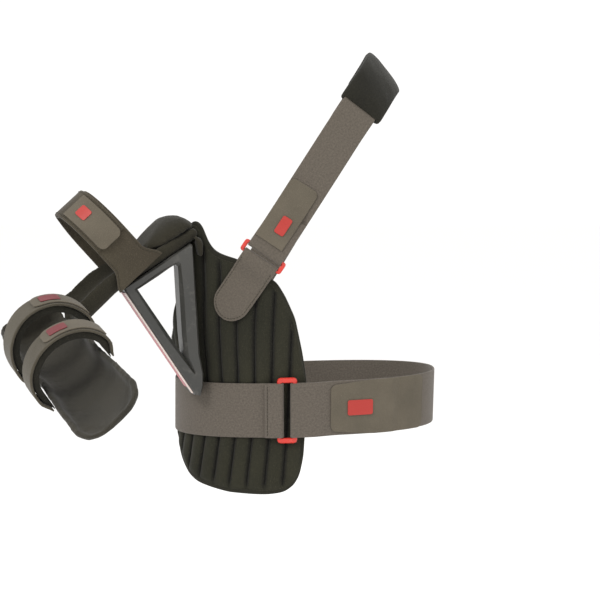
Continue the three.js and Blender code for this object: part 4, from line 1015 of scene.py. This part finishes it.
def tape_point(row, column, layer):
    spot = row % tape_count
    inset, off = TAPE_SECTION[column]
    if not layer:
        centre = np.array((3.4, 3.4))
        inset, off = np.array((inset, off)) + (centre - np.array((inset, off))) * 0.22
    along, up = tape_line[spot] + tape_in[spot] * inset
    return on_trunk(along, up, off)


def tape_mark(row, column):
    return row * TAPE_STEP, column * 2.4


binding = shell("trunk_pad_binding", tape_count + 1, len(TAPE_SECTION), tape_point, tape_mark, tube=True)
finish(binding, pad_tape, "neoprene")
tape_stitch = [tuple(tape_line[i] + tape_in[i] * 4.9) for i in range(tape_count)]
thread_line("trunk_pad_binding_stitch", stitched(on_trunk, tape_stitch, 6.25), 0.34)

# Belt
bar = RING_ALONG - BELT_BAR_ALONG
short_belt = [(along, belt_inner(along)) for along in spread(-BELT_SEWN_END, bar, 6)]
short_belt += bar_turn(bar, BELT_BAR, BELT_RING_OFF, 1)
hem = 18
for along in spread(bar, bar - hem, 2)[1:]:
    settle = smooth((bar - BELT_BAR - along) / hem)
    short_belt.append((along, mix(BELT_OUTER, belt_inner(along) + WEB_THICKNESS + GAP, settle)))
piece = laid_strap("belt_short_webbing", short_belt, BELT_WIDTH / 2, WEB_THICKNESS, belt_place)
finish(piece, belt_webbing, "webbing", "belt_short")
hem_line = bar - hem + 4


def hem_top(along, _):
    settle = smooth((bar - BELT_BAR - along) / hem)
    return mix(BELT_OUTER, belt_inner(along) + WEB_THICKNESS + GAP, settle) + WEB_THICKNESS / 2


ends = [(hem_line, -BELT_WIDTH / 2 + 3), (hem_line, BELT_WIDTH / 2 - 3)]
thread_line("belt_hem_stitch", stitched(belt_place, ends, hem_top), 0.4, "webbing")

bar = RING_ALONG + BELT_BAR_ALONG
far = 2 * HALF_GIRTH - BELT_SEWN_END - 6
long_belt = [(along, belt_inner(along)) for along in spread(far, bar, 6)]
long_belt += bar_turn(bar, BELT_BAR, BELT_RING_OFF, -1)
long_belt += [(along, belt_fold_off(along)) for along in spread(bar, bar + BELT_FOLD, 6)[1:]]
piece = laid_strap("belt_long_webbing", long_belt, BELT_WIDTH / 2, WEB_THICKNESS, belt_place)
finish(piece, belt_webbing, "webbing", "belt_long")


def belt_tab_half(along):
    return mix(BELT_TAB_WIDTH, BELT_WIDTH, smooth((along - BELT_TAB_START) / 62)) / 2


def belt_tab_off(along):
    return belt_fold_top(along) + GAP + TAB_THICKNESS / 2


path = tab_path(BELT_TAB_START, BELT_TAB_START + BELT_TAB_LENGTH, belt_tab_half, belt_tab_off)
piece = laid_strap("belt_grip_tab", path, BELT_TAB_WIDTH / 2, TAB_THICKNESS, belt_place)
finish(piece, tab_cloth, "grip_tab", "belt_tab")

# Shoulder strap, its anchor and its tab
ANCHOR_SINK_FROM = 14.3
ANCHOR_SINK_OVER = 23.4
anchor = [(run, strap_inner(run)) for run in spread(-26, -STRAP_BAR_ALONG, 5)]
anchor += bar_turn(-STRAP_BAR_ALONG, SHOULDER_BAR, STRAP_RING_OFF, 1)
half_strap = STRAP_WIDTH / 2
lay = spread(-STRAP_BAR_ALONG - 4, -ANCHOR_LENGTH + half_strap, 4)
lay += [-ANCHOR_LENGTH + inset * half_strap for inset in (0.8, 0.6, 0.45, 0.32, 0.2, 0.12, 0.06, 0.02, 0.004)]
for run in lay:
    off = mix(STRAP_OUTER, strap_inner(run), smooth((-run - ANCHOR_SINK_FROM) / ANCHOR_SINK_OVER))
    anchor.append((run, off, rounded(half_strap, half_strap, run + ANCHOR_LENGTH)))
piece = laid_strap("shoulder_anchor_webbing", anchor, half_strap, WEB_THICKNESS, strap_place)
finish(piece, strap_webbing, "webbing", "shoulder_anchor")


def anchor_top(run, _):
    settle = smooth((-run - ANCHOR_SINK_FROM) / ANCHOR_SINK_OVER)
    return mix(STRAP_OUTER, strap_inner(run), settle) + WEB_THICKNESS / 2


inset = half_strap - 3
edge = [(run, inset) for run in spread(-14, -ANCHOR_LENGTH + half_strap, 4)]
arc = [math.pi / 2 * (1 - step / 8) for step in range(1, 16)]
edge += [(-ANCHOR_LENGTH + half_strap - inset * math.cos(a), inset * math.sin(a)) for a in arc]
edge += [(run, -inset) for run in spread(-ANCHOR_LENGTH + half_strap, -14, 4)]
thread_line("shoulder_anchor_stitch", stitched(strap_place, edge, anchor_top), 0.36, "webbing")

strap = [(run, strap_inner(run)) for run in spread(REAR_RUN, STRAP_BAR_ALONG, 5)]
strap += bar_turn(STRAP_BAR_ALONG, SHOULDER_BAR, STRAP_RING_OFF, -1)
strap += [(run, strap_fold_off(run)) for run in spread(STRAP_BAR_ALONG, STRAP_FOLD, 5)[1:]]
piece = laid_strap("shoulder_strap_webbing", strap, half_strap, WEB_THICKNESS, strap_place)
finish(piece, strap_webbing, "webbing", "shoulder_strap")


def strap_tab_off(run):
    return strap_fold_top(run) + GAP + TAB_THICKNESS / 2


def strap_tab_place(run, across, off):
    return strap_place(run, across + STRAP_TAB_SHIFT, off)


path = tab_path(STRAP_TAB_START, STRAP_TAB_END, STRAP_TAB_WIDTH / 2, strap_tab_off, round_start=False)
piece = laid_strap("shoulder_grip_tab", path, STRAP_TAB_WIDTH / 2, TAB_THICKNESS, strap_tab_place)
finish(piece, tab_cloth, "grip_tab", "shoulder_tab")

# Shoulder pad: a soft cushion in a sleeve that the strap runs through
sleeve_runs = spread(CREST_RUN - SLEEVE_FRONT, CREST_RUN + SLEEVE_REAR, 4)
SLOT_LOW = strap_under(CREST_RUN) + SKIN_GAP - GAP
SLOT_HIGH = SLOT_LOW + WEB_THICKNESS + 2 * GAP
SLEEVE_TOP = SLOT_HIGH + COVER
SLEEVE_TURNS = 48


def sleeve_half(run):
    return SLEEVE_WIDTH / 2 + 2.5 * smooth(1 - abs(run - CREST_RUN) / SLEEVE_REAR)


def sleeve_point(row, column, layer):
    run = sleeve_runs[row]
    turn = column / SLEEVE_TURNS * math.tau
    side, rise = math.cos(turn), math.sin(turn)
    nearest = min(row, len(sleeve_runs) - 1 - row)
    if layer:
        half = sleeve_half(run) - (0.9 if nearest == 0 else 0)
        across = half * math.copysign(abs(side) ** 0.42, side)
        middle, reach = (SKIN_GAP + SLEEVE_TOP) / 2, (SLEEVE_TOP - SKIN_GAP) / 2
        swell = 1.5 * smooth(nearest / 5) * max(0, rise) * (1 - (across / half) ** 2)
        off = middle + reach * math.copysign(abs(rise) ** 0.5, rise) + swell
        off -= 0.6 if nearest == 0 else 0
        off += 0.5 * ripple(run, across, 18, 7) * max(0, rise)
        return strap_place(run, SLEEVE_SHIFT + across, off)
    half = STRAP_WIDTH / 2 + GAP + 0.3
    across = half * math.copysign(abs(side) ** 0.35, side)
    middle, reach = (SLOT_LOW + SLOT_HIGH) / 2, (SLOT_HIGH - SLOT_LOW) / 2
    return strap_place(run, across, middle + reach * math.copysign(abs(rise) ** 0.4, rise))


def sleeve_mark(row, column):
    return sleeve_runs[row], column * 3.2


sleeve = shell(
    "shoulder_pad_sleeve", len(sleeve_runs), SLEEVE_TURNS + 1, sleeve_point, sleeve_mark, tube=True)
apply(sleeve, "SUBSURF", levels=1, render_levels=1)
finish(sleeve, strap_sleeve_cloth, "neoprene", "shoulder_pad")

def patch(name, node, start, length, half, off, place, material):
    """A small printed patch with rounded corners on a tab."""
    path = tab_path(start, start + length, half, off, corner=PATCH_CORNER)
    piece = laid_strap(name, path, half, PATCH_THICKNESS, place)
    finish(piece, material, "patch_red", node)


def belt_patch_off(along):
    return belt_fold_top(along) + GAP + TAB_THICKNESS + PATCH_GAP + PATCH_THICKNESS / 2


def strap_patch_off(run):
    return strap_fold_top(run) + GAP + TAB_THICKNESS + PATCH_GAP + PATCH_THICKNESS / 2


PATCH_CORNER = 2.6
BELT_PATCH_START = BELT_TAB_START + 22
STRAP_PATCH_START = STRAP_TAB_START + 15
patch("belt_red_patch", "belt_patch", BELT_PATCH_START, 33, 10, belt_patch_off, belt_place, red_print)
patch("shoulder_red_patch", "shoulder_patch", STRAP_PATCH_START, 24, 7, strap_patch_off, strap_place,
      red_print)

# Upper-arm flap and strap
FLAP_FLARE = 13
FLAP_FLARE_RISE = 26
flap_end = ARM_LOOP_LENGTH * 0.56
arm_strap_start = ARM_LOOP_LENGTH * 0.2


def flap_half(run):
    return ARM_STRAP_WIDTH / 2 + FLAP_FLARE * (1 - smooth(run / FLAP_FLARE_RISE))


def flap_place(run, across, off):
    lower = across * (1 + 3 / flap_half(run)) if across < 0 else across
    return arm_loop_place(run, lower, off)


flap = [(run, NEOPRENE / 2, flap_half(run)) for run in spread(0, flap_end, 5)]
piece = laid_strap("upper_arm_flap_neoprene", flap, ARM_STRAP_WIDTH / 2, NEOPRENE, flap_place, 0.25)
finish(piece, arm_cloth, "neoprene", "upper_arm_flap")
on_flap = NEOPRENE * 1.5 + GAP


def arm_strap_off(run):
    return mix(on_flap, NEOPRENE / 2, smooth((run - flap_end - 2) / 26))


arm_strap = [(run, arm_strap_off(run)) for run in spread(arm_strap_start, ARM_LOOP_LENGTH, 5)]
piece = laid_strap("upper_arm_strap_neoprene", arm_strap, ARM_STRAP_WIDTH / 2, NEOPRENE, arm_loop_place, 0.2)
finish(piece, arm_cloth, "neoprene", "upper_arm_strap")

# Both edges of the flap and of the strap are sewn down
EDGE_STITCH_INSET = 3
EDGE_STITCH_STEP = 3
for side, label in ((-1, "lower"), (1, "upper")):
    flap_runs = spread(2, arm_strap_start - 4, EDGE_STITCH_STEP)
    ends = [(run, side * (flap_half(run) - EDGE_STITCH_INSET)) for run in flap_runs]
    thread_line(f"upper_arm_flap_{label}_stitch", stitched(flap_place, ends, NEOPRENE), 0.34)
    strap_stitch_runs = spread(arm_strap_start + 2, ARM_LOOP_LENGTH - 2, EDGE_STITCH_STEP)
    ends = [(run, side * (ARM_STRAP_WIDTH / 2 - EDGE_STITCH_INSET)) for run in strap_stitch_runs]
    line = stitched(arm_loop_place, ends, lambda run, _: arm_strap_off(run) + NEOPRENE / 2)
    thread_line(f"upper_arm_strap_{label}_stitch", line, 0.34)
arm_tab_off = on_flap + NEOPRENE / 2 + GAP + TAB_THICKNESS / 2
arm_tab_end = ARM_LOOP_LENGTH * 0.43
path = tab_path(arm_strap_start - 3, arm_tab_end, ARM_TAB_WIDTH / 2, lambda run: arm_tab_off, round_end=False)
piece = laid_strap("upper_arm_grip_tab", path, ARM_TAB_WIDTH / 2, TAB_THICKNESS, arm_loop_place)
finish(piece, tab_cloth, "grip_tab", "upper_arm_tab")
arm_patch_off = arm_tab_off + (TAB_THICKNESS + PATCH_THICKNESS) / 2 + GAP
patch("upper_arm_red_patch", "upper_arm_patch", arm_tab_end - 30, 16, 8, lambda run: arm_patch_off,
      arm_loop_place, red_print)


# Forearm straps with their padded liners and tabs
FOREARM_FOOT = 20
FOREARM_REAR_SHARE = 0.45
FOREARM_EASE = 26
FOREARM_TAB_TO = 0.86
FOREARM_PATCH_INSET = 8
FOOT_TAPER = 18
FOOT_THIN = 0.2


def forearm_strap(name, along, crown, tab_from):
    edges = [along + side * FOREARM_STRAP_WIDTH / 2 for side in (-1, 1)]
    half = max(trough_size((edge + ELBOW_LENGTH) / FOREARM_LENGTH)[0] for edge in edges)
    spring_up = TROUGH_RIM + 2
    loop = loop_route(half + GAP, spring_up, crown - spring_up, -FOREARM_FOOT,
                      -FOREARM_FOOT * FOREARM_REAR_SHARE)
    length = loop[1][-1]

    def place(run, across, off):
        side, rise = on_loop(loop, run, off)
        return forearm_place(along, side, rise) + FOREARM_WAY * across

    def foot_share(run):
        return mix(FOOT_THIN, 1, smooth(min(run, length - run) / FOOT_TAPER))

    def band_off(run):
        near_foot = min(run, length - run) / FOREARM_EASE
        return LINER * foot_share(run) + GAP + NEOPRENE / 2 + LINER_GAP * smooth(near_foot)

    liner_half = (FOREARM_STRAP_WIDTH - 7) / 2
    path = [(run, LINER / 2 * foot_share(run)) for run in spread(0, length, 4)]
    liner = laid_strap(f"{name}_liner_pile", path, liner_half, LINER, place, 0.35, foot=foot_share)
    finish(liner, dark_pile, "padded_cloth", f"{name}_liner")
    path = [(run, band_off(run)) for run in spread(0, length, 5)]
    strap = laid_strap(f"{name}_strap_cloth", path, FOREARM_STRAP_WIDTH / 2, NEOPRENE, place, 0.3)
    finish(strap, forearm_cloth, "padded_cloth", f"{name}_strap")

    def tab_off(run):
        return band_off(run) + NEOPRENE / 2 + GAP + TAB_THICKNESS / 2

    path = tab_path(length * tab_from, length * FOREARM_TAB_TO, 16, tab_off, round_end=False)
    tab = laid_strap(f"{name}_grip_tab", path, 16, TAB_THICKNESS, place)
    finish(tab, tab_cloth, "grip_tab", f"{name}_tab")

    def patch_off(run):
        return tab_off(run) + (TAB_THICKNESS + PATCH_THICKNESS) / 2 + GAP

    patch_start = length * tab_from + FOREARM_PATCH_INSET
    patch(f"{name}_red_patch", f"{name}_patch", patch_start, 19, 9.5, patch_off, place, dark_red_print)


forearm_strap("forearm_near", 24, 53, 0.55)
forearm_strap("forearm_far", 108, 43, 0.49)


# Foam pieces: their solids' skins, smoothed and swollen as sewn foam covers are
def puffed(name, node, voxel, shrink, pressure, cap, material, slot):
    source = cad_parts[node]
    piece = bpy.data.objects.new(name, source.data.copy())
    bpy.context.scene.collection.objects.link(piece)
    piece.data.materials.clear()
    only(piece)
    bpy.ops.object.mode_set(mode="EDIT")
    bpy.ops.mesh.select_all(action="SELECT")
    bpy.ops.mesh.remove_doubles(threshold=1e-5)
    bpy.ops.mesh.normals_make_consistent(inside=False)
    bpy.ops.transform.shrink_fatten(value=-shrink)
    bpy.ops.object.mode_set(mode="OBJECT")
    apply(piece, "REMESH", mode="VOXEL", voxel_size=voxel)
    apply(piece, "SMOOTH", factor=0.5, iterations=6)
    rest = np.array([v.co for v in piece.data.vertices])
    only(piece)
    cloth = piece.modifiers.new("Cloth", "CLOTH")
    cloth.settings.use_pressure = True
    cloth.settings.uniform_pressure_force = pressure
    cloth.settings.effector_weights.gravity = 0
    cloth.settings.mass = 0.3
    cloth.collision_settings.use_collision = False
    for number in range(1, 21):
        bpy.context.scene.frame_set(number)
    bpy.ops.object.modifier_apply(modifier=cloth.name)
    moved = np.array([v.co for v in piece.data.vertices]) - rest
    far = np.linalg.norm(moved, axis=1, keepdims=True)
    moved *= np.minimum(1, cap / np.maximum(far, 1e-9))
    piece.data.vertices.foreach_set("co", (rest + moved).ravel())
    bpy.context.scene.frame_set(1)
    apply(piece, "SMOOTH", factor=0.5, iterations=3)
    apply(piece, "SUBSURF", levels=1, render_levels=1)
    finish(piece, material, slot, node, angle=180)
    return piece


puffed("armpit_pillow", "armpit_pad", 0.004, 0.0015, 4, 0.004, roll_cloth, "neoprene")
puffed("arm_pad_gutter", "arm_pad", 0.0035, 0.0005, 3, 0.0015, roll_cloth, "neoprene")
puffed("forearm_trough_cover", "forearm_trough", 0.0035, 0.0005, 3, 0.0015, sleeve_cloth,
       "padded_cloth")

# Finishes of the moulded and printed pieces
for node, material in {
    "abduction_frame": frame_plastic, "strut_stripe_white": white_inlay, "strut_stripe_red": red_inlay,
    "belt_ring": ring_plastic, "shoulder_ring": ring_plastic,
}.items():
    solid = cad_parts[node]
    solid.data.materials.clear()
    solid.data.materials.append(material)

# Floor, light and camera
bpy.ops.object.select_all(action="DESELECT")
FLOOR_UP = -0.95
bpy.ops.mesh.primitive_plane_add(size=30, location=(0, 0, FLOOR_UP))
floor = bpy.context.object
floor.name = "studio_floor"
floor_paint = bpy.data.materials.new("pale_floor")
floor_paint.use_nodes = True
floor_shader = floor_paint.node_tree.nodes["Principled BSDF"]
floor_shader.inputs["Base Color"].default_value = (0.95, 0.95, 0.945, 1)
floor_shader.inputs["Roughness"].default_value = 0.9
floor.data.materials.append(floor_paint)

world = bpy.data.worlds.new("studio")
bpy.context.scene.world = world
world.use_nodes = True
world.node_tree.nodes["Background"].inputs["Color"].default_value = (1, 0.99, 0.98, 1)
world.node_tree.nodes["Background"].inputs["Strength"].default_value = 1.07


def lamp(name, place, aim, size, power):
    light = bpy.data.lights.new(name, "AREA")
    light.size = size
    light.energy = power
    holder = bpy.data.objects.new(name, light)
    bpy.context.scene.collection.objects.link(holder)
    holder.location = place
    way = np.array(aim) - np.array(place)
    yaw = math.atan2(way[0], -way[1])
    pitch = math.atan2(math.hypot(way[0], way[1]), -way[2])
    holder.rotation_euler = (pitch, 0, yaw + math.pi)


lamp("key_light", (-1.5, -2.0, 1.6), (-0.15, 0, -0.25), 1.0, 40)
lamp("fill_light", (1.9, -1.8, 0.4), (-0.1, 0, -0.3), 2.0, 8)
lamp("back_light", (0.6, 2.0, 1.4), (-0.1, 0, -0.2), 1.6, 16)

camera_data = bpy.data.cameras.new("photo_camera")
camera_data.lens = 120
camera_data.sensor_width = 36
camera = bpy.data.objects.new("photo_camera", camera_data)
bpy.context.scene.collection.objects.link(camera)
camera.location = (-0.1051, -2.7201, -0.0666)
camera.rotation_euler = (math.radians(90 - 5), 0, 0)
bpy.context.scene.camera = camera
bpy.context.scene.view_settings.view_transform = "Standard"
